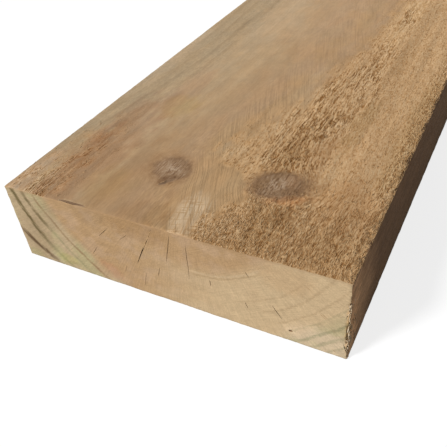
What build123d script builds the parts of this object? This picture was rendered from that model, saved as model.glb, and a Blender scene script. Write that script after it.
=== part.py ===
from build123d import *
import os
from math import radians, tan

# A rough-sawn softwood plank, one piece, lying on its broad underside.
# The origin is at the centre of the underside. X runs across the width, Y along the length,
# away from the near end, and Z up through the thickness. Lengths are in millimetres.

# The sawn section, and the length the plank is docked to
plank_width = 200.0
plank_thickness = 52.0
plank_length = 2400.0
arris_radius = 1.2

# The tree's pith ran outside the plank: to the right of its centreline and above its upper face
pith_offset = 19.0
pith_height = 38.0

# Drying checks in the near end: slim splits that open along rays from the pith.
# The widest check has this gape and depth, and the others have a share of both.
check_gape = 0.6
check_depth = 22.0
# Each check's ray in degrees from straight down, positive towards +X
check_angles = (-27.0, -14.0, -2.0, -17.0, 32.5)
# Where each check starts and ends, as shares of the thickness, measured down from the upper face
check_span_shares = ((0.04, 0.58), (0.06, 0.43), (0.11, 0.57), (0.54, 0.67), (0.57, 0.73))
check_size_shares = (1.0, 0.6, 0.5, 0.5, 0.6)

near_end = Plane.XZ.offset(plank_length / 2)


def point_on_ray(angle, depth_share):
    """Where a ray from the pith is, on the near end, once it is that share of the thickness deep."""
    depth = depth_share * plank_thickness
    return Vector(pith_offset + (pith_height + depth) * tan(radians(angle)), plank_thickness - depth)


with BuildPart() as plank:
    # The sawn length, its four long arrises eased by handling
    with BuildSketch(near_end) as section:
        with Locations((0, plank_thickness / 2)):
            RectangleRounded(plank_width, plank_thickness, arris_radius)
    extrude(amount=-plank_length)

    # Each check is a lens at the surface that closes to a point inside the wood
    for angle, span_shares, size_share in zip(check_angles, check_span_shares, check_size_shares):
        start, end = (point_on_ray(angle, share) for share in span_shares)
        middle = (start + end) / 2
        half_gape = (end - start).rotate(Axis.Z, 90).normalized() * check_gape * size_share / 2
        root = near_end.offset(-check_depth * size_share).from_local_coords(middle)
        with BuildSketch(near_end, mode=Mode.PRIVATE) as mouth:
            with BuildLine():
                ThreePointArc(start, middle + half_gape, end)
                ThreePointArc(end, middle - half_gape, start)
            make_face()
        loft([mouth.sketch, Vertex(root)], mode=Mode.SUBTRACT)

plank.part.label = "plank"

os.makedirs("parts", exist_ok=True)
export_step(plank.part, "parts/plank.step")
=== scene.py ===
"""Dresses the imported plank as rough-sawn softwood and lights it as in the photograph.

Lengths are in millimetres and measured on the plank: across from its centreline, along from the
near end and up from the underside. A finished mesh is put in the frame, in metres.
"""

from __future__ import annotations

import logging
from dataclasses import dataclass, field
from enum import Enum, IntEnum
from functools import cached_property
from math import cos, pi, radians, sin, tan
from typing import Union

import bmesh
import bpy
import numpy as np
from mathutils import Matrix, Quaternion, Vector


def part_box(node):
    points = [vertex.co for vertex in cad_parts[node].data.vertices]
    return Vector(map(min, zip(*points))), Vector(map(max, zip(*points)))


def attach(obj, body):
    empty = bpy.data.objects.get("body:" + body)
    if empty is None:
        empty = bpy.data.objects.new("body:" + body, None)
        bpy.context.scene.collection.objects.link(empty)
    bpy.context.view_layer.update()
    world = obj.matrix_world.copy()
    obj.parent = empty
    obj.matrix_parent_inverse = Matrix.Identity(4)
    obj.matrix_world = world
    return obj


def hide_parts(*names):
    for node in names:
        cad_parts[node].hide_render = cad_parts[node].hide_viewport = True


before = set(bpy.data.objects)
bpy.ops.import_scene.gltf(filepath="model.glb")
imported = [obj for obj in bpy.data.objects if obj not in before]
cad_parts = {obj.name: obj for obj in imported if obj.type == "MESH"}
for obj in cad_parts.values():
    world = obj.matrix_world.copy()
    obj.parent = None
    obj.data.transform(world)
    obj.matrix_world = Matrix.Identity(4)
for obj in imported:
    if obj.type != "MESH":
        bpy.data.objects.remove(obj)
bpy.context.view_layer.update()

LOG = logging.getLogger("plank")
MM = 0.001
BODY = "root"
NODE = "plank"
BAKE_MAP = "OFBake"
WHITE = (1.0, 1.0, 1.0)
# How near the plank's box a place is that lies on it
TOUCH = 0.01
# The middle of a pattern's values
MIDDLE = 0.5
EULER = 2.718

Colour = tuple[float, float, float]
Point = tuple[float, float, float]
Pair = tuple[float, float]
# Where a grade starts and stops, then what it gives there, which is 0 and 1 unless it is given
Fade = tuple[float, ...]
Stops = tuple[tuple[float, Colour], ...]
Array = np.ndarray
BMesh = bmesh.types.BMesh
Material = bpy.types.Material
Mesh = bpy.types.Mesh
Random = np.random.Generator
Socket = bpy.types.NodeSocket
Thing = bpy.types.Object
Items = bpy.types.bpy_prop_collection
Feed = Union[Socket, float, tuple[float, ...]]


class Side(Enum):
    """A face of the plank's box, as its axis and whether it is the high end of that axis."""

    LEFT = (0, False)
    RIGHT = (0, True)
    NEAR_END = (1, False)
    FAR_END = (1, True)
    UNDER = (2, False)
    UPPER = (2, True)


class Finish(IntEnum):
    """The material slots of the plank's mesh."""

    FACE = 0
    EDGE = 1
    END = 2
    CHECK = 3


@dataclass(frozen=True)
class PlankSize:
    """The sawn section and the docked length."""

    width: float
    length: float
    thickness: float

    @classmethod
    def from_frame(cls, node: str) -> PlankSize:
        """Reads the size of a CAD node, in millimetres."""
        low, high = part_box(node)
        return cls(*((high - low) / MM))

    def lowest(self) -> Array:
        """The corner of the plank's box at the left of the near end's lower edge."""
        return np.array([-self.width / 2, 0.0, 0.0])

    def highest(self) -> Array:
        """The opposite corner of the plank's box."""
        return np.array([self.width / 2, self.length, self.thickness])

    def in_frame(self, points: Array) -> Array:
        """Takes places on the plank, one to a row in millimetres, to the frame in metres."""
        return (points - np.array([0.0, self.length / 2, 0.0])) * MM


def oval_distance(right: Array, far: Array, lean: float, reach: Pair) -> Array:
    """Measures how far places are from the middle of an oval.

    Args:
        right: How far they are to the right of the middle.
        far: How far they are beyond it.
        lean: The oval's lean in degrees.
        reach: Its half width and half length.

    Returns:
        Distances, with 1 on the oval's outline.
    """
    turn = radians(lean)
    wide = (right * cos(turn) + far * sin(turn)) / reach[0]
    long = (far * cos(turn) - right * sin(turn)) / reach[1]
    return np.hypot(wide, long)


@dataclass(frozen=True)
class Grain:
    """A noise: the size of its spots, the number and strength of finer ones, its bend and its grade."""

    cell: Point
    detail: float = 2.0
    roughness: float = 0.5
    curl: float = 0.0
    fade: Fade = (0.0, 1.0)


@dataclass(frozen=True)
class Branch:
    """A branch that grew from the pith, as it crosses the upper face."""

    along: float
    across: float
    half_width: float
    half_length: float
    turn: float = 0.0

    def span(self, across: Array, along: Array) -> Array:
        """How far places on the upper face are from the branch, with 1 at the bark."""
        reach = (self.half_width, self.half_length)
        return oval_distance(across - self.across, along - self.along, self.turn, reach)


@dataclass(frozen=True)
class Trunk:
    """How the tree grew round the plank: its pith, its rings and its whorls of branches."""

    pith_offset: float = 19.0
    pith_height: float = 90.0
    upper_face: float = 52.0
    ring_radius: float = 105.0
    ring_spacing: float = 8.7
    ring_count: float = 40.86
    ring_grain: Grain = Grain((26.0, 170.0, 26.0))
    ring_sway: float = 4.0
    # Where late wood sets in and ends, as shares of a ring
    late_rise: Fade = (0.4, 0.84)
    late_fall: Fade = (1.0, 0.9)
    sap_radius: float = 100.0
    sap_border: Pair = (-5.0, 4.0)
    whorl_spacing: float = 570.0
    first_whorl: float = 50.0
    whorl_power: float = 3.0
    swell: float = 15.0
    sway_across: float = 5.0
    sway_up: float = 4.0
    sway_pitch: float = 0.7
    bark_grain: Grain = Grain((4.0, 5.0, 4.0), 4.0, 0.7)
    bark_sway: float = 0.6
    # How much of a branch's own width the grain gives way by
    pushed: float = 0.9
    widest_span: float = 9.0
    branches: tuple[Branch, ...] = (
        Branch(47.0, -16.8, 10.8, 11.2, 10.0),
        Branch(53.0, 42.3, 15.0, 11.0, 45.0),
        Branch(611.0, -46.0, 8.5, 10.0),
        Branch(628.0, 61.0, 10.0, 12.5),
        Branch(1184.0, 6.0, 9.0, 11.0),
        Branch(1201.0, -71.0, 7.0, 9.0),
        Branch(1752.0, 38.0, 11.0, 13.0),
        Branch(1770.0, -28.0, 8.0, 10.0),
        Branch(2322.0, 72.0, 9.0, 11.0),
    )

    def whorl_share(self, along: float) -> float:
        """How near a place along the plank is to a whorl, from 0 to 1."""
        turn = 2 * pi * (along - self.first_whorl) / self.whorl_spacing
        return (MIDDLE + MIDDLE * cos(turn)) ** self.whorl_power

    def ray_point(self, angle: float, depth: float) -> Array:
        """Finds where a ray from the pith is on the near end.

        Args:
            angle: The ray's angle in degrees from straight down, positive to the right.
            depth: How far below the upper face the place is.

        Returns:
            The place on the near end.
        """
        reach = self.pith_height - self.upper_face + depth
        across = self.pith_offset + reach * tan(radians(angle))
        return np.array([across, 0.0, self.upper_face - depth])


class Unevenness:
    """Smooth random values from -1 to 1 over a plane, the same in each run."""

    CELLS = 512

    def __init__(self, seed: int) -> None:
        """Draws the values that stand at whole numbers."""
        self.lattice = np.random.default_rng(seed).uniform(-1.0, 1.0, (self.CELLS, self.CELLS))

    def at(self, across: Array, along: Array) -> Array:
        """Reads the values between the whole numbers.

        Args:
            across: First coordinates, in cells.
            along: Second coordinates, in cells.

        Returns:
            A value for each pair of coordinates.
        """
        column = np.floor(across).astype(int)
        row = np.floor(along).astype(int)
        right = across - column
        up = along - row
        right = right * right * (3.0 - 2.0 * right)
        up = up * up * (3.0 - 2.0 * up)

        def corner(step_across: int, step_along: int) -> Array:
            """The values at one corner of each cell."""
            return self.lattice[(column + step_across) % self.CELLS, (row + step_along) % self.CELLS]

        low = corner(0, 0) * (1.0 - right) + corner(1, 0) * right
        high = corner(0, 1) * (1.0 - right) + corner(1, 1) * right
        return low * (1.0 - up) + high * up


def ramp(values: Array, start: float, stop: float) -> Array:
    """Rises smoothly from 0 at start to 1 at stop, on either side of start."""
    share = np.clip((values - start) / (stop - start), 0.0, 1.0)
    return share * share * (3.0 - 2.0 * share)


def unit(vectors: Array) -> Array:
    """Scales vectors to a length of 1."""
    return vectors / np.linalg.norm(vectors, axis=1, keepdims=True)


def whole_numbers(items: Items, name: str) -> Array:
    """Reads a whole number of each corner or face of a mesh."""
    return np.fromiter((getattr(item, name) for item in items), np.int32, len(items))


def mesh_of(bm: BMesh, name: str) -> Mesh:
    """Turns a bmesh into a mesh.

    Args:
        bm: The bmesh, which is freed.
        name: The mesh's name.

    Returns:
        The mesh.
    """
    mesh = bpy.data.meshes.new(name)
    bm.to_mesh(mesh)
    bm.free()
    return mesh


def put_in_scene(data: bpy.types.ID) -> Thing:
    """Makes an object of a mesh, lamp or camera, with its name.

    Args:
        data: The mesh, lamp or camera.

    Returns:
        The object.
    """
    made = bpy.data.objects.new(data.name, data)
    bpy.context.scene.collection.objects.link(made)
    return made


@dataclass
class SawnRelief:
    """How deep the saw tore each face, as depths below the plank's box."""

    size: PlankSize
    trunk: Trunk
    seed: int = 11
    # Where torn grain begins on the upper face: distance from the near end, then offset across
    torn_edge: tuple[tuple[float, float], ...] = (
        (0.0, 17.0),
        (12.0, 18.0),
        (25.0, 28.0),
        (47.0, 26.0),
        (60.0, 10.0),
        (73.0, -10.0),
        (86.0, -3.0),
        (100.0, 3.0),
        (118.0, 11.0),
        (140.0, 19.0),
        (200.0, 27.0),
        (350.0, 32.0),
    )
    torn_edge_width: float = 20.0
    sunk_depth: float = 0.4
    torn_depth: float = 0.36
    gouge_depth: float = 0.5
    sway_depth: float = 0.3
    chip_width: float = 0.7
    chip_depth: float = 10.0
    notch_depth: float = 1.9
    fine_until: float = 450.0
    coarse_from: float = 900.0
    coarse_share: float = 0.45
    fields: list[Unevenness] = field(default_factory=list)

    def __post_init__(self) -> None:
        """Draws the uneven fields."""
        self.fields = [Unevenness(self.seed + step) for step in range(8)]

    def torn(self, across: Array, along: Array) -> Array:
        """Grades how torn the upper face is.

        Args:
            across: Offsets from the centreline.
            along: Distances from the near end.

        Returns:
            Shares from 0, cut clean, to 1, all torn.
        """
        stations, offsets = np.array(self.torn_edge).T
        edge = np.interp(along, stations, offsets)
        edge = edge + 5.0 * self.fields[0].at(across / 25.0, along / 38.0)
        edge = edge + 8.0 * self.fields[1].at(across / 5.0, along / 9.0)
        reach = self.torn_edge_width / 2 * (1.0 + 0.5 * ramp(along, 80.0, 180.0))
        right = ramp((across - edge) / reach, -1.0, 1.0)
        near = (1.0 - ramp(along, 22.0, 70.0)) * (1.0 - 0.55 * ramp(across, 52.0, 84.0))
        border = 0.6 * ramp(across, 88.0, 96.0)
        rough = np.maximum(np.maximum(near, border), 0.5 * self.gouge_band(across, along))
        right = right * (0.68 + 0.32 * rough)
        streak = np.hypot((across + 84.0 - 0.12 * along) / 34.0, along / 140.0)
        uneven = 0.92 + 0.36 * self.fields[1].at(across / 4.0, along / 9.0)
        streak = (1.0 - ramp(streak, 0.1, 1.1)) * uneven
        return np.maximum(right, 0.82 * np.clip(streak, 0.0, 1.0))

    def gouge_band(self, across: Array, along: Array) -> Array:
        """Grades how near places are to the band where the saw pulled out slivers of wood.

        Args:
            across: Offsets from the centreline.
            along: Distances from the near end.

        Returns:
            Shares from 0 to 1.
        """
        middle = 35.0 + 12.0 * ramp(along, 90.0, 180.0) - 3.0 * ramp(along, 210.0, 290.0)
        middle = middle + 4.0 * self.fields[2].at(across * 0.0, along / 60.0)
        narrowed = 1.0 - 0.3 * ramp(along, 150.0, 270.0)
        band = (1.0 - ramp(np.abs(across - middle) / narrowed, 8.0, 31.0)) * ramp(along, 58.0, 76.0)
        band = band * (1.0 - 0.5 * ramp(along, 100.0, 240.0))
        return band * np.clip(0.7 + 0.6 * self.fields[6].at(across / 7.0, along / 24.0), 0.0, 1.0)

    def gouged(self, across: Array, along: Array) -> Array:
        """Grades where long slivers of wood were pulled out of the upper face.

        Args:
            across: Offsets from the centreline.
            along: Distances from the near end.

        Returns:
            Shares from 0 to 1.
        """
        aside = np.abs(across + 78.0 - 0.06 * along)
        left = (1.0 - ramp(aside, 3.0, 14.0)) * (1.0 - ramp(along, 40.0, 130.0))
        place = np.maximum(self.gouge_band(across, along), 0.35 * left)
        return place * np.minimum(1.0, 1.4 * self.torn(across, along))

    def fineness(self, along: Array) -> Array:
        """How much of the fine relief the mesh carries, which has wider steps further along."""
        return 1.0 - (1.0 - self.coarse_share) * ramp(along, self.fine_until, self.coarse_from)

    def knot_rise(self, across: Array, along: Array) -> Array:
        """How high the hard knots were left standing on the upper face, as a share."""
        spans = [branch.span(across, along) for branch in self.trunk.branches]
        return 1.0 - ramp(np.min(spans, axis=0), 0.8, 1.15)

    def upper_depth(self, across: Array, along: Array) -> Array:
        """Works out how far the upper face lies below the box.

        Args:
            across: Offsets from the centreline.
            along: Distances from the near end.

        Returns:
            Depths in millimetres.
        """
        knots = self.knot_rise(across, along)
        sway = self.sway_depth * (0.6 + 0.4 * self.fields[3].at(across / 45.0, along / 130.0))
        tufts = 0.5 + 0.5 * self.fields[4].at(across / 1.3, along / 4.0)
        tufts = tufts + 0.1 * self.fields[5].at(across / 3.4, along / 10.0)
        bent = across + 0.8 * self.fields[5].at(across / 4.0, along / 7.0)
        pits = np.clip(2.0 * self.fields[6].at(bent / 1.35, along / 5.5) - 0.75, 0.0, 1.0)
        share = self.torn(across, along) * (1.0 - 0.8 * knots)
        torn = share * self.torn_depth * np.clip(tufts, 0.0, 1.4)
        gouged = self.gouged(across, along) * self.gouge_depth * pits * (1.0 - knots)
        rough = (torn + gouged) * self.fineness(along)
        return sway * (1.0 - 0.7 * knots) + share * self.sunk_depth + rough

    def plain_depth(self, across: Array, along: Array, torn: float) -> Array:
        """Works out how far an edge or the underside lies below the box.

        Args:
            across: Coordinates across the face.
            along: Distances from the near end.
            torn: How torn the face is, from 0 to 1.

        Returns:
            Depths in millimetres.
        """
        sway = self.sway_depth * (0.5 + 0.5 * self.fields[7].at(across / 40.0, along / 140.0))
        tufts = 0.5 + 0.5 * self.fields[5].at(across / 1.7, along / 5.0)
        return sway + torn * self.torn_depth * tufts * self.fineness(along)

    def end_depth(self, across: Array, up: Array) -> Array:
        """How far a docked end lies inside the box."""
        return 0.08 * (1.0 + self.fields[6].at(across / 9.0, up / 3.0))

    def arris_radius(self, points: Array) -> Array:
        """Works out how worn the long arrises are, most of all the upper right one.

        Args:
            points: Places on the plank's box.

        Returns:
            A radius for each place.
        """
        along = points[:, 1]
        wear = 0.5 + 0.5 * self.fields[0].at(along / 7.0, along * 0.0)
        wear = np.clip(wear + 0.5 * self.fields[1].at(along / 2.6, along * 0.0), 0.0, 1.5)
        ragged = (points[:, 0] > 0) & (points[:, 2] > self.size.thickness / 2)
        worn = 0.7 + (0.6 + 0.9 * ramp(along, 10.0, 60.0)) * wear
        return np.where(ragged, worn, 0.8 + 0.3 * wear) + self.chip_width * self.corner_chips(points)

    def notches(self, points: Array) -> Array:
        """Works out how far the upper arris on the right is broken away to the left.

        Args:
            points: Places on the plank's box.

        Returns:
            Distances in millimetres.
        """
        across, along, up = points.T
        bites = np.clip(1.9 * self.fields[3].at(along / 5.5, up / 30.0) + 0.15, 0.0, 1.0)
        bites = bites + 0.35 * np.clip(self.fields[6].at(along / 1.9, up / 9.0), 0.0, 1.0)
        sway = np.clip(0.6 + 0.7 * self.fields[2].at(along / 24.0, along * 0.0), 0.15, 1.1)
        high = ramp(up, self.size.thickness - 6.0, self.size.thickness - 0.5)
        right = ramp(across, self.size.width / 2 - 4.0, self.size.width / 2)
        near = ramp(along, 1.0, 9.0) * (1.0 - 0.65 * ramp(along, 60.0, 110.0))
        return self.notch_depth * bites * sway * high * right * near

    def arris_drop(self, across: Array, along: Array) -> Array:
        """How far the worn upper arris on the right lies below the upper face at some places.

        Args:
            across: Offsets from the centreline.
            along: Distances from the near end.

        Returns:
            Depths in millimetres.
        """
        edge, top = self.size.width / 2, self.size.thickness
        ridge = np.stack([np.full_like(along, edge), along, np.full_like(along, top)])
        radius = self.arris_radius(ridge.T)
        reach = np.clip(radius - (self.size.width / 2 - across), 0.0, radius)
        return radius - np.sqrt(radius ** 2 - reach ** 2)

    def corner_chips(self, points: Array) -> Array:
        """Grades how far the lower part of the near end's right corner is chipped.

        Args:
            points: Places on the plank's box.

        Returns:
            Shares from 0 to 1.
        """
        across, along, up = points.T
        right = ramp(across, self.size.width / 2 - 8.0, self.size.width / 2 - 2.0)
        place = right * ramp(up, 1.0, 6.0) * (1.0 - ramp(up, 34.0, 44.0)) * (1.0 - ramp(along, 5.0, 14.0))
        ragged = 0.6 + 0.8 * self.fields[2].at(up / 3.1, along * 0.0)
        ragged = ragged + 0.5 * self.fields[4].at(up / 1.2, along / 3.0)
        return place * np.clip(ragged, 0.0, 1.3)


class NodeSheet:
    """Adds nodes to a tree and joins them."""

    def __init__(self, tree: bpy.types.NodeTree) -> None:
        """Starts with the tree to add to."""
        self.tree = tree

    def feed(self, socket: Socket, value: Feed) -> None:
        """Links an output to a socket, or sets the socket's own value.

        Args:
            socket: The input to feed.
            value: Another node's output, a number or a row of numbers.
        """
        if isinstance(value, Socket):
            self.tree.links.new(value, socket)
        elif isinstance(value, tuple) and socket.type == "RGBA":
            socket.default_value = (*value, 1.0)
        else:
            socket.default_value = value

    def add(self, kind: str, feeds: dict[Union[str, int], Feed], **settings: object) -> bpy.types.Node:
        """Adds a node.

        Args:
            kind: The node's type, without the words ShaderNode in front.
            feeds: What each input gets, by its name or number.
            settings: The node's own settings.

        Returns:
            The new node.
        """
        node = self.tree.nodes.new("ShaderNode" + kind)
        for name, value in settings.items():
            setattr(node, name, value)
        for name, value in feeds.items():
            self.feed(node.inputs[name], value)
        return node

    def math(self, operation: str, *values: Feed) -> Socket:
        """Adds a Math node and gives its output."""
        return self.add("Math", dict(enumerate(values)), operation=operation).outputs[0]

    def plus(self, first: Feed, second: Feed) -> Socket:
        """Adds two numbers."""
        return self.math("ADD", first, second)

    def minus(self, first: Feed, second: Feed) -> Socket:
        """Takes the second number from the first."""
        return self.math("SUBTRACT", first, second)

    def times(self, first: Feed, second: Feed) -> Socket:
        """Multiplies two numbers."""
        return self.math("MULTIPLY", first, second)

    def scaled(self, value: Feed, factor: Feed, base: Feed) -> Socket:
        """Multiplies a number by a factor and adds it to a base."""
        return self.math("MULTIPLY_ADD", value, factor, base)

    def watched(self) -> Socket:
        """Adds a Light Path node.

        Returns:
            1 on what is seen straight, in a reflection or through glass, and 0 on what only bounces light.
        """
        rays = self.add("LightPath", {}).outputs
        seen = self.math("MAXIMUM", rays["Is Camera Ray"], rays["Is Glossy Ray"])
        return self.math("MAXIMUM", seen, rays["Is Transmission Ray"])

    def vector(self, operation: str, *values: Feed) -> Socket:
        """Adds a Vector Math node and gives its vector."""
        return self.add("VectorMath", dict(enumerate(values)), operation=operation).outputs["Vector"]

    def measure(self, operation: str, *values: Feed) -> Socket:
        """Adds a Vector Math node and gives its number."""
        return self.add("VectorMath", dict(enumerate(values)), operation=operation).outputs["Value"]

    def stretched(self, place: Socket, factor: Feed) -> Socket:
        """Multiplies a vector by a number."""
        node = self.add("VectorMath", {"Vector": place, "Scale": factor}, operation="SCALE")
        return node.outputs["Vector"]

    def split(self, place: Socket) -> tuple[Socket, Socket, Socket]:
        """Gives the three coordinates of a vector."""
        return tuple(self.add("SeparateXYZ", {0: place}).outputs)

    def joined(self, across: Feed, along: Feed, up: Feed) -> Socket:
        """Makes a vector from three coordinates."""
        return self.add("CombineXYZ", {0: across, 1: along, 2: up}).outputs[0]

    def fade(self, value: Feed, start: float, stop: float, low: Feed = 0.0, high: Feed = 1.0) -> Socket:
        """Adds a Map Range node that grades a value smoothly, from low at start to high at stop."""
        feeds = {"Value": value, "From Min": start, "From Max": stop, "To Min": low, "To Max": high}
        return self.add("MapRange", feeds, interpolation_type="SMOOTHSTEP").outputs["Result"]

    def noise(self, place: Socket, grain: Grain) -> Socket:
        """Adds a noise, with values from 0 to 1, read at a place."""
        feeds = {
            "Vector": self.vector("DIVIDE", place, grain.cell),
            "Scale": 1.0,
            "Detail": grain.detail,
            "Roughness": grain.roughness,
            "Distortion": grain.curl,
        }
        return self.add("TexNoise", feeds).outputs[0]

    def swing(self, place: Socket, grain: Grain) -> Socket:
        """Adds a noise with values round 0."""
        return self.minus(self.noise(place, grain), MIDDLE)

    def pattern(self, place: Socket, grain: Grain) -> Socket:
        """Adds a noise with its own grade."""
        return self.fade(self.noise(place, grain), *grain.fade)

    def mixed(self, share: Feed, under: Feed, over: Feed, blend: str = "MIX") -> Socket:
        """Lays one colour over another.

        Args:
            share: How much of the upper colour shows.
            under: The lower colour.
            over: The upper colour.
            blend: The way that the two colours mix.

        Returns:
            The mixed colour.
        """
        node = self.add("Mix", {}, data_type="RGBA", blend_type=blend)
        for number, value in ((0, share), (6, under), (7, over)):
            self.feed(node.inputs[number], value)
        return node.outputs[2]

    def graded(self, value: Socket, stops: Stops) -> Socket:
        """Adds a colour ramp.

        Args:
            value: The value to colour.
            stops: A colour for each of some rising values.

        Returns:
            The colour.
        """
        low, high = stops[0][0], stops[-1][0]
        share = self.add("MapRange", {"Value": value, "From Min": low, "From Max": high}).outputs["Result"]
        node = self.add("ValToRGB", {0: share})
        elements = node.color_ramp.elements
        while len(elements) < len(stops):
            elements.new(MIDDLE)
        for element, (place, colour) in zip(elements, stops):
            element.position = (place - low) / (high - low)
            element.color = (*colour, 1.0)
        return node.outputs["Color"]

    def tinted(self, colour: Feed, tint: Feed) -> Socket:
        """Multiplies a colour by another."""
        return self.mixed(1.0, colour, tint, "MULTIPLY")

    def shaded(self, colour: Feed, factor: Socket) -> Socket:
        """Multiplies a colour by a number that changes over the surface."""
        return self.tinted(colour, self.add("CombineColor", {0: factor, 1: factor, 2: factor}).outputs[0])


class Effect:
    """A shader node group with named sockets, built once and placed in materials."""

    def __init__(self, name: str, inputs: dict[str, str], outputs: dict[str, str]) -> None:
        """Makes an empty group.

        Args:
            name: The group's name.
            inputs: The kind of each input, by name.
            outputs: The kind of each output, by name.
        """
        self.tree = bpy.data.node_groups.new(name, "ShaderNodeTree")
        for direction, sockets in (("INPUT", inputs), ("OUTPUT", outputs)):
            for label, kind in sockets.items():
                self.tree.interface.new_socket(label, in_out=direction, socket_type="NodeSocket" + kind)
        self.sheet = NodeSheet(self.tree)
        self.given = self.tree.nodes.new("NodeGroupInput").outputs
        self.made = self.tree.nodes.new("NodeGroupOutput").inputs

    def put_out(self, **values: Socket) -> None:
        """Feeds the group's outputs, by name."""
        for label, value in values.items():
            self.sheet.feed(self.made[label], value)

    def place(self, sheet: NodeSheet, **feeds: Feed) -> Items:
        """Places the group in a tree.

        Args:
            sheet: The tree that gets the group.
            feeds: What each input gets, with low lines for the spaces in its name.

        Returns:
            The outputs of the placed group.
        """
        node = sheet.tree.nodes.new("ShaderNodeGroup")
        node.node_tree = self.tree
        for label, value in feeds.items():
            sheet.feed(node.inputs[label.replace("_", " ")], value)
        return node.outputs


class BranchEffect(Effect):
    """Measures how far a place is from a branch, and how the branch pushes the grain aside."""

    def __init__(self, trunk: Trunk) -> None:
        """Builds the group.

        Args:
            trunk: The tree that the branches grew from.
        """
        super().__init__(
            "Branch in wood",
            {
                "Place": "Vector",
                "Along": "Float",
                "Axis": "Vector",
                "Aside": "Vector",
                "Lengthwise": "Vector",
                "Reach": "Float",
                "Half Width": "Float",
                "Half Length": "Float",
            },
            {"Span": "Float", "Push": "Vector"},
        )
        sheet, given = self.sheet, self.given
        foot = sheet.joined(trunk.pith_offset, given["Along"], trunk.pith_height)
        offset = sheet.vector("SUBTRACT", given["Place"], foot)
        outward = sheet.math("MAXIMUM", sheet.measure("DOT_PRODUCT", offset, given["Axis"]), 1.0)
        aside = sheet.measure("DOT_PRODUCT", offset, given["Aside"])
        along = sheet.measure("DOT_PRODUCT", offset, given["Lengthwise"])
        wide = sheet.math("POWER", sheet.math("DIVIDE", aside, given["Half Width"]), 2.0)
        long = sheet.math("POWER", sheet.math("DIVIDE", along, given["Half Length"]), 2.0)
        growth = sheet.math("DIVIDE", given["Reach"], outward)
        square = sheet.times(sheet.plus(wide, long), growth)
        shrink = sheet.math("DIVIDE", 1.0, sheet.math("MAXIMUM", square, 1.0))
        push = sheet.stretched(given["Aside"], sheet.times(aside, shrink))
        self.put_out(Span=sheet.math("SQRT", square), Push=push)


class GrowthEffect(Effect):
    """Finds the rings, the sapwood, the branches and the run of the grain at a place."""

    def __init__(self, trunk: Trunk) -> None:
        """Builds the group.

        Args:
            trunk: The tree that the plank was sawn from.
        """
        super().__init__(
            "Growth of the tree",
            {"Place": "Vector"},
            {"Flow": "Vector", **dict.fromkeys(("Span", "Late", "Sap", "Radius", "Bearing"), "Float")},
        )
        sheet = self.sheet
        span, flow = self.pass_branches(trunk)
        across, along, up = sheet.split(flow)
        pitch = 2 * pi / trunk.whorl_spacing
        turn = sheet.times(along, pitch)
        sway_across = sheet.times(sheet.math("SINE", turn), trunk.sway_across)
        sway_up = sheet.math("SINE", sheet.times(turn, trunk.sway_pitch))
        sway_up = sheet.times(sway_up, trunk.sway_up)
        right = sheet.minus(sheet.minus(across, trunk.pith_offset), sway_across)
        down = sheet.minus(sheet.minus(trunk.pith_height, up), sway_up)
        from_whorl = sheet.times(sheet.minus(along, trunk.first_whorl), pitch)
        whorl = sheet.scaled(sheet.math("COSINE", from_whorl), MIDDLE, MIDDLE)
        whorl = sheet.math("POWER", whorl, trunk.whorl_power)
        swell = sheet.times(sheet.minus(trunk.whorl_share(0.0), whorl), trunk.swell)
        radius = sheet.plus(sheet.measure("LENGTH", sheet.joined(right, 0.0, down)), swell)
        radius = sheet.scaled(sheet.swing(flow, trunk.ring_grain), trunk.ring_sway, radius)
        ring = sheet.math("DIVIDE", sheet.minus(radius, trunk.ring_radius), trunk.ring_spacing)
        share = sheet.math("FRACT", sheet.plus(ring, trunk.ring_count))
        sap_border = (trunk.sap_radius + part for part in trunk.sap_border)
        self.put_out(
            Flow=flow,
            Span=span,
            Late=sheet.times(sheet.fade(share, *trunk.late_rise), sheet.fade(share, *trunk.late_fall)),
            Sap=sheet.fade(radius, *sap_border),
            Radius=radius,
            Bearing=sheet.math("ARCTAN2", right, down),
        )

    def pass_branches(self, trunk: Trunk) -> tuple[Socket, Socket]:
        """Adds each branch.

        Args:
            trunk: The tree with its branches.

        Returns:
            The span to the nearest branch, and the place moved as the grain flows round them all.
        """
        sheet = self.sheet
        place = self.given["Place"]
        effect = BranchEffect(trunk)
        span: Feed = trunk.widest_span
        push: Feed = (0.0, 0.0, 0.0)
        for branch in trunk.branches:
            axis = Vector((branch.across - trunk.pith_offset, 0.0, trunk.upper_face - trunk.pith_height))
            reach = axis.length
            axis.normalize()
            aside = Vector((-axis.z, 0.0, axis.x))
            lengthwise = Vector((0.0, 1.0, 0.0))
            turn = radians(branch.turn)
            found = effect.place(
                sheet,
                Place=place,
                Along=branch.along,
                Axis=tuple(axis),
                Aside=tuple(aside * cos(turn) + lengthwise * sin(turn)),
                Lengthwise=tuple(lengthwise * cos(turn) - aside * sin(turn)),
                Reach=reach,
                Half_Width=branch.half_width * -axis.z,
                Half_Length=branch.half_length,
            )
            span = sheet.math("MINIMUM", span, found["Span"])
            push = sheet.vector("ADD", push, found["Push"])
        span = sheet.scaled(sheet.swing(place, trunk.bark_grain), trunk.bark_sway, span)
        return span, sheet.vector("SUBTRACT", place, sheet.stretched(push, trunk.pushed))


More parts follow.
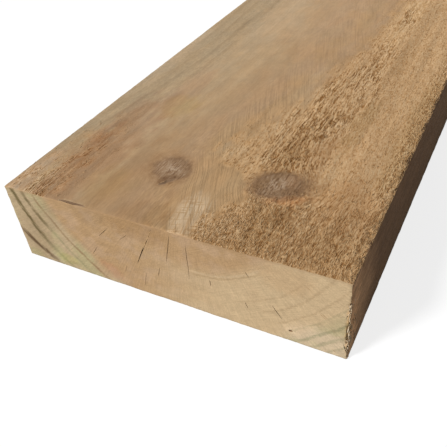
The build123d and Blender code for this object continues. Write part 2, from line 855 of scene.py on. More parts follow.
class TornEffect(Effect):
    """Torn grain: how much of it shows, and the height of its strokes and gouges."""

    STROKES = Grain((0.5, 2.7, 0.5), 2.0, 0.62, 0.2)
    GRAINS = Grain((0.42, 1.2, 0.42), 1.0)
    GRAIN_HEIGHT = 0.3
    PLATES = Grain((1.15, 9.0, 1.15), 2.0, 0.55, 0.3, fade=(0.45, 0.55, -0.5, 0.5))
    PLATE_HEIGHT = (0.0, 0.6, 0.1, 0.2)
    # Where little is torn, the strokes are shallow and only the deepest show
    TORN_DEPTH = (0.5, 0.95, 0.6, 1.36)
    PIT_SHARE = 0.7
    SHOWN = (0.2, 0.85)
    PATCHES = Grain((7.0, 16.0, 7.0), 1.0, fade=(0.35, 0.65, 0.92, 1.08))
    GOUGES = Grain((1.0, 13.0, 1.0), 2.0, 0.5, 0.3, fade=(0.42, 0.35))
    GOUGE_PLACE = (0.1, 0.6)
    GOUGE_HEIGHT = -0.3

    def __init__(self) -> None:
        """Builds the group."""
        super().__init__(
            "Torn grain",
            {"Place": "Vector", "Torn": "Float", "Gouged": "Float"},
            {"Share": "Float", "Height": "Float"},
        )
        sheet = self.sheet
        place, torn, gouged = (self.given[name] for name in ("Place", "Torn", "Gouged"))
        strokes = sheet.noise(place, self.STROKES)
        height = sheet.scaled(sheet.swing(place, self.GRAINS), self.GRAIN_HEIGHT, strokes)
        plates = sheet.pattern(place, self.PLATES)
        height = sheet.plus(sheet.times(plates, sheet.fade(gouged, *self.PLATE_HEIGHT)), height)
        patches = sheet.pattern(place, self.PATCHES)
        depth = sheet.times(sheet.fade(torn, *self.TORN_DEPTH), patches)
        height = sheet.scaled(sheet.minus(height, MIDDLE), depth, MIDDLE)
        # The pits show most, and their low heights take the dark tones of painted shade
        shown = sheet.scaled(sheet.minus(MIDDLE, height), self.PIT_SHARE, torn)
        gouges = sheet.pattern(place, self.GOUGES)
        gouges = sheet.times(gouges, sheet.fade(gouged, *self.GOUGE_PLACE))
        height = sheet.scaled(gouges, self.GOUGE_HEIGHT, height)
        self.put_out(Share=sheet.fade(shown, *self.SHOWN), Height=height)


class SpotEffect(Effect):
    """A soft-edged spot with a ragged outline."""

    OUTLINE = Grain((3.0, 9.0, 3.0), 3.0, 0.6)
    EDGE = (1.1, 0.5)

    def __init__(self) -> None:
        """Builds the group."""
        super().__init__(
            "Ragged spot",
            {"Place": "Vector", "Centre": "Vector", "Reach": "Vector", "Ragged": "Float"},
            {"Share": "Float"},
        )
        sheet, given = self.sheet, self.given
        offset = sheet.vector("SUBTRACT", given["Place"], given["Centre"])
        offset = sheet.vector("DIVIDE", offset, given["Reach"])
        ragged = sheet.swing(given["Place"], self.OUTLINE)
        distance = sheet.scaled(ragged, given["Ragged"], sheet.measure("LENGTH", offset))
        self.put_out(Share=sheet.fade(distance, *self.EDGE))


@dataclass(frozen=True)
class Spot:
    """A mark on the wood: its size, how it leans, and the tint that it gives the wood's colour."""

    centre: Point
    reach: Point
    tint: Colour
    share: float = 0.8
    ragged: float = 0.8
    lean: float = 0.0
    laddered: bool = False


@dataclass(frozen=True)
class Stain:
    """A soft mark on the upper face: its middle, its reach across and along, its tint and its lean."""

    middle: Pair
    reach: Pair
    tint: Colour
    lean: float = 0.0


@dataclass
class PaintedMarks:
    """The soft marks on the upper face, which each vertex keeps as a tint."""

    seed: int = 31
    # Where a mark's edge fades from none of its tint to all of it, in its own reach
    fades: Fade = (1.1, 0.5)
    share: float = 0.8
    ragged: float = 0.8
    # The cells of the broad and the fine teeth of an edge, and how far they reach
    broad_teeth: Point = (3.0, 9.0, 0.28)
    fine_teeth: Point = (1.5, 4.5, 0.16)
    # The torn grain by the near end
    near_grain: tuple[Stain, ...] = (
        Stain((70.0, 0.0), (68.0, 42.0), (0.77, 0.71, 0.63)),
        Stain((76.0, 14.0), (12.0, 13.0), (0.88, 0.86, 0.83)),
        Stain((50.0, 14.0), (10.0, 12.0), (0.91, 0.89, 0.86)),
        Stain((65.0, 15.0), (7.0, 9.0), (1.14, 1.15, 1.19)),
        Stain((34.0, 14.0), (8.0, 16.0), (1.12, 1.16, 1.24)),
        Stain((50.0, 30.0), (10.0, 9.0), (0.7, 0.65, 0.58)),
        Stain((90.0, 36.0), (14.0, 18.0), (0.87, 0.86, 0.85)),
        Stain((80.0, 48.0), (42.0, 24.0), (0.86, 0.79, 0.72)),
        Stain((-7.0, 5.0), (19.0, 15.0), (0.87, 0.84, 0.8)),
    )
    # The rims, halos and cores of the two near knots
    knots: tuple[Stain, ...] = (
        Stain((35.0, 50.0), (6.0, 8.0), (0.85, 0.78, 0.68)),
        Stain((50.5, 61.0), (6.0, 8.0), (1.16, 1.15, 1.14)),
        Stain((65.0, 58.0), (8.0, 38.0), (1.06, 1.1, 1.14)),
        Stain((53.0, 43.5), (4.5, 13.0), (1.17, 1.0, 0.89), -66.0),
        Stain((5.0, 75.0), (9.0, 11.0), (1.05, 1.12, 1.22)),
        Stain((-24.0, 48.0), (5.5, 13.0), (1.2, 1.25, 1.32), 12.0),
        Stain((-14.6, 36.5), (4.2, 8.0), (0.66, 0.6, 0.56), -35.0),
    )
    # Dark and pale streaks in the torn grain beyond the knots
    far_grain: tuple[Stain, ...] = (
        Stain((41.0, 100.0), (10.0, 50.0), (0.88, 0.84, 0.78), -4.0),
        Stain((36.0, 82.0), (11.0, 36.0), (0.81, 0.78, 0.74)),
        Stain((52.0, 86.0), (9.0, 30.0), (0.82, 0.78, 0.74)),
        Stain((65.0, 126.0), (6.5, 40.0), (0.8, 0.8, 0.75)),
        Stain((66.0, 225.0), (6.0, 48.0), (0.84, 0.83, 0.81)),
        Stain((95.0, 130.0), (9.0, 90.0), (0.84, 0.82, 0.76)),
        Stain((51.0, 300.0), (11.0, 80.0), (1.2, 1.25, 1.29)),
    )
    # The reddish and pale streaks along the left
    left_streaks: tuple[Stain, ...] = (
        Stain((-66.0, 40.0), (22.0, 95.0), (0.85, 0.78, 0.78)),
        Stain((-76.0, 40.0), (5.0, 85.0), (0.87, 0.83, 0.8), -4.0),
        Stain((-66.0, 25.0), (8.0, 45.0), (0.9, 0.89, 0.89)),
        Stain((-80.0, 90.0), (8.0, 40.0), (0.92, 0.87, 0.85)),
        Stain((-58.0, 130.0), (12.0, 48.0), (0.92, 0.86, 0.86)),
        Stain((-40.0, 40.0), (9.0, 60.0), (0.91, 0.89, 0.88)),
        Stain((-71.0, 280.0), (3.5, 60.0), (0.84, 0.82, 0.79), -2.0),
        Stain((-86.0, 10.0), (18.0, 26.0), (0.97, 1.05, 1.16)),
        Stain((-93.0, 10.0), (8.0, 45.0), (1.14, 1.12, 1.18)),
        Stain((-95.0, 180.0), (7.0, 70.0), (1.14, 1.16, 1.22)),
    )
    # Broad stains in the clean wood
    clean_wood: tuple[Stain, ...] = (
        Stain((-42.0, 12.0), (48.0, 75.0), (0.93, 0.89, 0.85)),
        Stain((-46.0, 22.0), (17.0, 20.0), (1.02, 1.0, 0.9)),
        Stain((-52.0, 112.0), (14.0, 18.0), (1.0, 0.99, 0.84)),
        Stain((7.0, 101.0), (9.0, 16.0), (0.88, 0.9, 0.92)),
        Stain((20.0, 150.0), (9.0, 55.0), (1.06, 1.1, 1.16)),
        Stain((-30.0, 300.0), (45.0, 90.0), (1.1, 1.11, 1.15)),
    )

    def tints(self, across: Array, along: Array) -> Array:
        """Works out the tint of places on the upper face.

        Args:
            across: Offsets from the centreline.
            along: Distances from the near end.

        Returns:
            A colour to multiply the wood's colour by, for each place.
        """
        ragged = np.zeros_like(across)
        for step, (wide, long, reach) in enumerate((self.broad_teeth, self.fine_teeth)):
            ragged = ragged + reach * Unevenness(self.seed + step).at(across / wide, along / long)
        tints = np.ones((len(across), 3))
        for stain in self.near_grain + self.knots + self.far_grain + self.left_streaks + self.clean_wood:
            right, far = across - stain.middle[0], along - stain.middle[1]
            distance = oval_distance(right, far, stain.lean, stain.reach) + self.ragged * ragged
            share = self.share * ramp(distance, *self.fades)
            tints *= 1.0 + share[:, None] * (np.array(stain.tint) - 1.0)
        return tints


@dataclass
class WoodEffects:
    """The node groups that the wood's materials share."""

    trunk: Trunk
    size: PlankSize
    growth: GrowthEffect = field(init=False)
    torn: TornEffect = field(init=False)
    spot: SpotEffect = field(init=False)

    def __post_init__(self) -> None:
        """Builds the groups."""
        self.growth = GrowthEffect(self.trunk)
        self.torn = TornEffect()
        self.spot = SpotEffect()


class WoodSheet(NodeSheet):
    """The nodes of a material that reads its place on the plank."""

    LADDER_LINES = Grain((1.2, 22.0, 5.0), 1.0, fade=(0.4, 0.48, 0.2, 1.0))
    LADDER_RUNGS = Grain((7.0, 1.3, 5.0), 1.0, fade=(0.38, 0.46, 0.3, 1.0))

    def __init__(self, name: str, effects: WoodEffects) -> None:
        """Starts the material.

        Args:
            name: The material's name.
            effects: The shared node groups.
        """
        self.material = bpy.data.materials.new(name)
        self.material.use_nodes = True
        super().__init__(self.material.node_tree)
        self.effects = effects
        feeds = {
            "Vector": self.add("TexCoord", {}).outputs["Object"],
            "Location": (0.0, effects.size.length / 2, 0.0),
            "Scale": (1.0 / MM, 1.0 / MM, 1.0 / MM),
        }
        self.place = self.add("Mapping", feeds, vector_type="POINT").outputs[0]

    @cached_property
    def growth(self) -> Items:
        """What the growth group finds at the place."""
        return self.effects.growth.place(self, Place=self.place)

    def mark(self, spot: Spot, colour: Socket) -> Socket:
        """Tints the wood's colour with a mark.

        Args:
            spot: The mark.
            colour: The colour under it.

        Returns:
            The colour with the mark.
        """
        feeds = {"Vector": self.place, "Center": spot.centre, "Angle": -radians(spot.lean)}
        upright = self.add("VectorRotate", feeds, rotation_type="Z_AXIS").outputs[0]
        found = self.effects.spot.place(
            self, Place=upright, Centre=spot.centre, Reach=spot.reach, Ragged=spot.ragged
        )
        share = self.times(found["Share"], spot.share)
        if spot.laddered:
            lines = self.pattern(upright, self.LADDER_LINES)
            rungs = self.pattern(upright, self.LADDER_RUNGS)
            share = self.times(share, self.times(lines, rungs))
        return self.tinted(colour, self.mixed(share, WHITE, spot.tint))

    def dress(self, colour: Socket, roughness: Feed, specular: float, height: Socket) -> Material:
        """Feeds the shader.

        Args:
            colour: The wood's colour.
            roughness: Its roughness.
            specular: How strongly it reflects.
            height: Its relief in millimetres.

        Returns:
            The finished material.
        """
        shader = self.tree.nodes["Principled BSDF"]
        bump = self.add("Bump", {"Height": height, "Strength": 1.0, "Distance": MM}).outputs[0]
        feeds = {
            "Base Color": colour,
            "Roughness": roughness,
            "Specular IOR Level": specular,
            "Normal": bump,
        }
        for name, value in feeds.items():
            self.feed(shader.inputs[name], value)
        return self.material


@dataclass(frozen=True)
class SawnFinish:
    """A sawn long face: its wood, its rings, its torn grain, its knots and its marks."""

    name: str
    # The colour of the wood at distances from the pith
    zones: Stops
    # The colour of torn grain at heights from pit to tuft: painted shade in the pits and painted light on
    # the tufts
    tones: Stops
    late: Colour
    ring_share: float = 0.06
    sap_ring_share: float = 0.26
    spots: tuple[Spot, ...] = ()
    torn_gloss: Fade = (0.0, 1.0, 0.78, 0.88)
    specular: float = 0.08
    spread: Fade = (0.3, 0.7)
    fibres: Grain = Grain((0.8, 9.0, 0.8), 3.0, 0.6)
    fibre_shade: Fade = (0.25, 0.75, 0.95, 1.05)
    fibre_height: float = 0.06
    hatch_shade: Fade = (0.3, 0.7, 0.9, 1.1)
    hatch_height: float = 0.25
    late_height: float = 0.05
    torn_shade: Fade = (0.15, 0.75, 0.78, 1.0)
    torn_cover: float = 0.95
    torn_height: float = 0.85
    # Lengthwise pale and dark bands, strongest in torn grain: painted light and shade of low ridges along
    # the grain
    broad: Grain = Grain((4.0, 90.0, 4.0), fade=(0.3, 0.7, -1.0, 1.0))
    broad_depth: Fade = (0.0, 0.6, 0.025, 0.09)
    # The saw's lines bend as the logarithm of the distance from a place in front of the near end
    comb_start: float = 250.0
    comb_bend: float = 152.0
    combed: Grain = Grain((1.05, 30.0, 30.0), 2.0, 0.55, 0.35, fade=(0.34, 0.56, 0.27, 0.62))
    straight: Grain = Grain((0.9, 6.0, 6.0), 2.0, 0.55, 0.35)
    # The left border of the bent lines, which leans up to this distance from the near end
    comb_border: Fade = (-16.0, -5.0)
    comb_lean: float = -0.38
    comb_leans_until: float = 50.0
    # Where the lines are strong: near the pith, near the end and in clean wood
    hatch_radius: Fade = (62.0, 42.0, 0.2, 1.0)
    hatch_along: Fade = (80.0, 200.0, 1.0, 0.55)
    hatch_torn: Fade = (0.0, 1.0, 1.0, 0.25)
    mottle: Grain = Grain((12.0, 30.0, 12.0), 3.0, 0.6)
    mottle_reach: float = 34.0
    # How much the wood's colour changes from one blotch to the next
    blotched: float = 0.05
    blotches: Grain = Grain((9.0, 17.0, 9.0), 3.0, 0.6)
    cool: Colour = (0.98, 1.0, 1.02)
    warm: Colour = (1.02, 1.0, 0.97)
    hues: Grain = Grain((13.0, 34.0, 13.0), 3.0, 0.6, fade=(0.35, 0.65))
    specks: Grain = Grain((1.3, 3.0, 1.3), 3.0, 0.65, fade=(0.3, 0.7, -1.0, 1.0))
    speck_depth: Fade = (0.0, 1.0, 0.04, 0.09)
    ring_breaks: Grain = Grain((9.0, 60.0, 9.0), fade=(0.35, 0.6, 0.3, 1.0))
    # The knots, whose reaches are spans from a branch, with 1 at its bark
    knot_core: Colour = (0.272, 0.17, 0.096)
    knot_pale: Colour = (0.46, 0.34, 0.235)
    knot_dark: Colour = (0.16, 0.088, 0.047)
    knot_halo: Colour = (0.29, 0.165, 0.08)
    knot_mottle: Grain = Grain((2.4, 3.2, 2.4), 3.0, 0.65)
    knot_streaks: Grain = Grain((0.8, 6.0, 0.8), 3.0, 0.65, 0.5)
    halo_reach: Fade = (1.75, 1.0)
    halo_mottle: Fade = (0.35, 0.65, 0.2, 0.6)
    pale_reach: Fade = (0.62, 0.1)
    pale_mottle: Fade = (0.42, 0.56)
    dark_streaks: Fade = (0.48, 0.37, 0.0, 0.9)
    pale_streaks: Fade = (0.54, 0.66, 0.0, 0.5)
    bark_reach: Fade = (0.7, 0.95)
    bark_mottle: Fade = (0.35, 0.6, 0.1, 0.6)
    knot_reach: Fade = (1.3, 0.78)
    knot_cover: float = 0.92

    def material(self, effects: WoodEffects) -> Material:
        """Makes the material.

        Args:
            effects: The shared node groups.

        Returns:
            The material.
        """
        sheet = WoodSheet(self.name, effects)
        flow = sheet.growth["Flow"]
        torn_share, gouged_share = (
            sheet.add("Attribute", {}, attribute_name=name).outputs["Fac"] for name in ("torn", "gouged")
        )
        torn = effects.torn.place(sheet, Place=flow, Torn=torn_share, Gouged=gouged_share)
        fibres = sheet.noise(flow, self.fibres)
        hatching = self.hatching(sheet, torn_share)

        colour = self.clean_wood(sheet)
        colour = sheet.shaded(colour, sheet.fade(fibres, *self.fibre_shade))
        colour = sheet.shaded(colour, sheet.fade(hatching, *self.hatch_shade))
        # Torn grain darkens into its pits and gouges and pales onto its tufts: painted shade and painted
        # light that follow its bump
        tone = sheet.graded(torn["Height"], self.tones)
        tone = sheet.shaded(tone, sheet.fade(torn_share, *self.torn_shade))
        colour = sheet.mixed(sheet.times(torn["Share"], self.torn_cover), colour, tone)
        # Painted light and shade of low lengthwise ridges
        broad = sheet.pattern(flow, self.broad)
        broad = sheet.scaled(broad, sheet.fade(torn_share, *self.broad_depth), 1.0)
        colour = self.knots(sheet, sheet.shaded(colour, broad))
        for spot in self.spots:
            colour = sheet.mark(spot, colour)
        colour = sheet.tinted(colour, sheet.add("Attribute", {}, attribute_name="tint").outputs["Color"])

        rough = sheet.fade(torn_share, *self.torn_gloss)
        height = sheet.times(fibres, self.fibre_height)
        height = sheet.scaled(hatching, self.hatch_height, height)
        height = sheet.scaled(sheet.times(torn["Height"], torn["Share"]), self.torn_height, height)
        height = sheet.scaled(sheet.growth["Late"], self.late_height, height)
        return sheet.dress(colour, rough, self.specular, height)

    def hatching(self, sheet: WoodSheet, torn: Socket) -> Socket:
        """Adds the fine slanted lines that the saw combed into the wood nearest the pith.

        Args:
            sheet: The material's nodes.
            torn: How torn the wood is there.

        Returns:
            A value round the middle.
        """
        flow = sheet.growth["Flow"]
        across, along, up = sheet.split(flow)
        bend = sheet.math("MAXIMUM", sheet.plus(along, self.comb_start), 1.0)
        bend = sheet.math("LOGARITHM", bend, EULER)
        slanted = sheet.joined(sheet.scaled(bend, self.comb_bend, across), along, up)
        combed = sheet.pattern(slanted, self.combed)
        straight = sheet.noise(flow, self.straight)
        before = sheet.math("MAXIMUM", sheet.minus(self.comb_leans_until, along), 0.0)
        to_right = sheet.fade(sheet.scaled(before, self.comb_lean, across), *self.comb_border)
        lines = sheet.scaled(to_right, sheet.minus(combed, straight), straight)
        where = sheet.fade(sheet.growth["Radius"], *self.hatch_radius)
        where = sheet.times(where, sheet.fade(along, *self.hatch_along))
        where = sheet.times(where, sheet.fade(torn, *self.hatch_torn))
        return sheet.scaled(sheet.minus(lines, MIDDLE), where, MIDDLE)

    def clean_wood(self, sheet: WoodSheet) -> Socket:
        """Colours the wood that the saw cut clean.

        Args:
            sheet: The material's nodes.

        Returns:
            The colour.
        """
        place, growth = sheet.place, sheet.growth
        radius = sheet.scaled(sheet.swing(place, self.mottle), self.mottle_reach, growth["Radius"])
        colour = sheet.graded(radius, self.zones)
        blotches = sheet.noise(place, self.blotches)
        blotches = sheet.fade(blotches, *self.spread, 1.0 - self.blotched, 1.0 + self.blotched)
        colour = sheet.shaded(colour, blotches)
        hue = sheet.pattern(place, self.hues)
        colour = sheet.tinted(colour, sheet.mixed(hue, self.cool, self.warm))
        specks = sheet.pattern(place, self.specks)
        specks = sheet.scaled(specks, sheet.fade(growth["Sap"], *self.speck_depth), 1.0)
        colour = sheet.shaded(colour, specks)
        ring = sheet.fade(growth["Sap"], 0.0, 1.0, self.ring_share, self.sap_ring_share)
        ring = sheet.times(ring, sheet.pattern(place, self.ring_breaks))
        return sheet.mixed(sheet.times(growth["Late"], ring), colour, self.late)

    def knots(self, sheet: WoodSheet, colour: Socket) -> Socket:
        """Lays the knots over the wood's colour.

        Args:
            sheet: The material's nodes.
            colour: The wood's colour.

        Returns:
            The colour with knots.
        """
        span = sheet.growth["Span"]
        mottle = sheet.noise(sheet.place, self.knot_mottle)
        streaks = sheet.noise(sheet.place, self.knot_streaks)

        def patch(reach: Fade, spots: Fade) -> Socket:
            """Where a ring round a branch and the spots of its mottle meet."""
            return sheet.times(sheet.fade(span, *reach), sheet.fade(mottle, *spots))

        colour = sheet.mixed(patch(self.halo_reach, self.halo_mottle), colour, self.knot_halo)
        core = sheet.mixed(patch(self.pale_reach, self.pale_mottle), self.knot_core, self.knot_pale)
        core = sheet.mixed(sheet.fade(streaks, *self.dark_streaks), core, self.knot_dark)
        core = sheet.mixed(sheet.fade(streaks, *self.pale_streaks), core, self.knot_pale)
        core = sheet.mixed(patch(self.bark_reach, self.bark_mottle), core, self.knot_dark)
        share = sheet.times(sheet.fade(span, *self.knot_reach), self.knot_cover)
        return sheet.mixed(share, colour, core)


@dataclass(frozen=True)
class RingBand:
    """A band of late wood on an end: its radius and width, its colour and where it shows.

    The bearings are in degrees from straight down, positive to the right.
    """

    radius: float
    half_width: float
    colour: Colour
    share: float
    bearings: Pair
    # How much the radius grows for each radian to the right
    drift: float = 0.0


@dataclass(frozen=True)
class DockedFinish:
    """An end cut across the grain: its rings and rays, its saw marks, its stains and the painted shade along
    its upper edge.
    """

    name: str = "docked_end"
    heart: Colour = (0.455, 0.292, 0.152)
    flush: Colour = (0.49, 0.33, 0.2)
    pale: Colour = (0.565, 0.415, 0.245)
    sap: Colour = (0.49, 0.38, 0.235)
    green: Colour = (0.44, 0.38, 0.2)
    # A dark colour, for the scratches and for the painted shade along the upper edge
    stain: Colour = (0.36, 0.22, 0.115)
    bands: tuple[RingBand, ...] = ()
    spots: tuple[Spot, ...] = ()
    pore_gloss: Fade = (0.2, 0.8, 0.78, 0.9)
    specular: float = 0.08
    # The distance round the pith for each radian, for patterns that follow the rays
    girth: float = 90.0
    rays: Grain = Grain((0.8, 1.0, 15.0), 3.0, 0.65)
    ray_shade: Fade = (0.28, 0.72, 0.92, 1.08)
    ray_height: float = 0.08
    pores: Grain = Grain((0.8, 0.8, 0.8), 3.0, 0.65)
    pore_shade: Fade = (0.25, 0.75, 0.91, 1.09)
    pore_height: float = 0.16
    clouds: Grain = Grain((5.0, 5.0, 4.0), 3.0, 0.6)
    cloud_shade: Fade = (0.3, 0.7, 0.94, 1.06)
    scratches: Grain = Grain((0.8, 1.0, 9.0), 1.0, fade=(0.33, 0.24))
    scratch_place: Fade = (0.42, 0.58)
    scratch_cover: float = 0.8
    # Where the painted shade under the torn upper arris sets in on the end, and where it breaks up
    top_shade: Fade = (49.0, 52.0)
    top_shade_breaks: Fade = (0.4, 0.6, 0.2, 0.7)
    saw_lines: Grain = Grain((30.0, 30.0, 0.9))
    saw_turn: float = 28.0
    saw_height: float = 0.1
    blotches: Grain = Grain((20.0, 20.0, 20.0), 3.0)
    pale_across: Fade = (-25.0, 45.0)
    pale_radius: Fade = (52.0, 64.0)
    pale_blotches: Fade = (0.2, 0.5, 0.7, 1.0)
    flushes: Grain = Grain((13.0, 13.0, 9.0), fade=(0.42, 0.62, 0.0, 0.7))
    sap_cover: float = 0.8
    green_blotches: Fade = (0.45, 0.62, 0.0, 0.7)
    band_breaks: Grain = Grain((6.0, 1.0, 2.0), 3.0, 0.7, fade=(0.3, 0.55, 0.35, 1.0))
    band_teeth: Grain = Grain((2.2, 2.2, 2.2), 3.0, 0.7)
    band_teeth_reach: float = 2.4
    # The share of a band's width that is of full strength, and how far its ends fade, in radians
    band_core: float = 0.2
    band_end: float = 0.07

    def material(self, effects: WoodEffects) -> Material:
        """Makes the material.

        Args:
            effects: The shared node groups.

        Returns:
            The material.
        """
        sheet = WoodSheet(self.name, effects)
        place, growth = sheet.place, sheet.growth
        on_rays = sheet.joined(sheet.times(growth["Bearing"], self.girth), 0.0, growth["Radius"])
        rays = sheet.noise(on_rays, self.rays)
        pores = sheet.noise(place, self.pores)
        clouds = sheet.noise(place, self.clouds)
        colour = self.rings(sheet, on_rays)
        for pattern, shade in ((rays, self.ray_shade), (pores, self.pore_shade), (clouds, self.cloud_shade)):
            colour = sheet.shaded(colour, sheet.fade(pattern, *shade))
        scratch = sheet.pattern(on_rays, self.scratches)
        scratch = sheet.times(scratch, sheet.fade(clouds, *self.scratch_place))
        colour = sheet.mixed(sheet.times(scratch, self.scratch_cover), colour, self.stain)
        for spot in self.spots:
            colour = sheet.mark(spot, colour)
        # A broken dark line along the end's upper edge: painted shade under the torn fibres of the upper
        # arris
        top = sheet.fade(sheet.split(place)[2], *self.top_shade)
        top = sheet.times(top, sheet.fade(pores, *self.top_shade_breaks))
        colour = sheet.mixed(top, colour, self.stain)

        rough = sheet.fade(pores, *self.pore_gloss)
        height = sheet.times(rays, self.ray_height)
        height = sheet.scaled(pores, self.pore_height, height)
        turned = {"Vector": place, "Rotation": (0.0, radians(self.saw_turn), 0.0)}
        saw = sheet.noise(sheet.add("Mapping", turned, vector_type="POINT").outputs[0], self.saw_lines)
        height = sheet.scaled(saw, self.saw_height, height)
        return sheet.dress(colour, rough, self.specular, height)

    def rings(self, sheet: WoodSheet, on_rays: Socket) -> Socket:
        """Colours the heartwood, the sapwood and the late wood of the rings.

        Args:
            sheet: The material's nodes.
            on_rays: The place as a distance round the pith and one from it.

        Returns:
            The colour.
        """
        place, growth = sheet.place, sheet.growth
        blotches = sheet.noise(place, self.blotches)
        pale = sheet.fade(sheet.split(place)[0], *self.pale_across)
        pale = sheet.times(pale, sheet.fade(growth["Radius"], *self.pale_radius))
        pale = sheet.times(pale, sheet.fade(blotches, *self.pale_blotches))
        flushed = sheet.pattern(place, self.flushes)
        colour = sheet.mixed(pale, sheet.mixed(flushed, self.heart, self.flush), self.pale)
        colour = sheet.mixed(sheet.times(growth["Sap"], self.sap_cover), colour, self.sap)
        greening = sheet.times(growth["Sap"], sheet.fade(blotches, *self.green_blotches))
        colour = sheet.mixed(greening, colour, self.green)
        broken = sheet.pattern(on_rays, self.band_breaks)
        teeth = sheet.swing(place, self.band_teeth)
        radius = sheet.scaled(teeth, self.band_teeth_reach, growth["Radius"])
        for band in self.bands:
            share = sheet.times(self.band_share(sheet, radius, band), broken)
            colour = sheet.mixed(share, colour, band.colour)
        return colour

    def band_share(self, sheet: WoodSheet, radius: Socket, band: RingBand) -> Socket:
        """Works out where a band of late wood shows.

        Args:
            sheet: The material's nodes.
            radius: The distance of the place from the pith.
            band: The band.

        Returns:
            How much of it shows.
        """
        bearing = sheet.growth["Bearing"]
        first, last = (radians(limit) for limit in band.bearings)
        from_middle = sheet.minus(bearing, (first + last) / 2)
        drifted = sheet.scaled(from_middle, band.drift, band.radius)
        off = sheet.math("ABSOLUTE", sheet.minus(radius, drifted))
        share = sheet.fade(off, band.half_width, self.band_core * band.half_width, 0.0, band.share)
        share = sheet.times(share, sheet.fade(bearing, first - self.band_end, first + self.band_end))
        return sheet.times(share, sheet.fade(bearing, last + self.band_end, last - self.band_end))


@dataclass(frozen=True)
class CheckFinish:
    """The walls inside a drying check, with painted shade that darkens them with depth."""

    name: str = "check_wall"
    mouth: Colour = (0.4, 0.25, 0.128)
    # The colour deep in a check is painted shade
    deep_shade: Colour = (0.19, 0.112, 0.058)
    darkens_over: float = 1.6
    roughness: float = 0.9
    specular: float = 0.5
    grain: Grain = Grain((0.8, 8.0, 0.8))
    grain_height: float = 0.2

    def material(self, effects: WoodEffects) -> Material:
        """Makes the material.

        Args:
            effects: The shared node groups.

        Returns:
            The material.
        """
        sheet = WoodSheet(self.name, effects)
        grain = sheet.noise(sheet.place, self.grain)
        depth = sheet.plus(grain, sheet.split(sheet.place)[1])
        colour = sheet.mixed(sheet.fade(depth, 0.0, self.darkens_over), self.mouth, self.deep_shade)
        return sheet.dress(colour, self.roughness, self.specular, sheet.times(grain, self.grain_height))


@dataclass(frozen=True)
class FibreFinish:
    """Raised fibres, each of its own tone, and paler towards its tip."""

    name: str = "raised_fibre"
    dark_root: Colour = (0.38, 0.225, 0.102)
    pale_root: Colour = (0.50, 0.315, 0.155)
    dark_tip: Colour = (0.44, 0.272, 0.13)
    pale_tip: Colour = (0.66, 0.47, 0.262)
    tip_share: Fade = (0.1, 0.8)
    roughness: float = 0.85
    specular: float = 0.08

    def material(self) -> Material:
        """Makes the material, which reads a fibre's tone and length from its own map.

        Returns:
            The material.
        """
        material = bpy.data.materials.new(self.name)
        material.use_nodes = True
        sheet = NodeSheet(material.node_tree)
        shader = material.node_tree.nodes["Principled BSDF"]
        place = sheet.add("UVMap", {}, uv_map=BAKE_MAP).outputs[0]
        tone, length, _ = sheet.split(place)
        root = sheet.mixed(tone, self.dark_root, self.pale_root)
        tip = sheet.mixed(tone, self.dark_tip, self.pale_tip)
        sheet.feed(shader.inputs["Base Color"], sheet.mixed(sheet.fade(length, *self.tip_share), root, tip))
        shader.inputs["Roughness"].default_value = self.roughness
        shader.inputs["Specular IOR Level"].default_value = self.specular
        return material


@dataclass(frozen=True)
class Split:
    """A slim split: the ends and the gape of its mouth, its depth, and the way that it runs in."""

    start: Array
    end: Array
    gape: float
    depth: float
    inward: Point


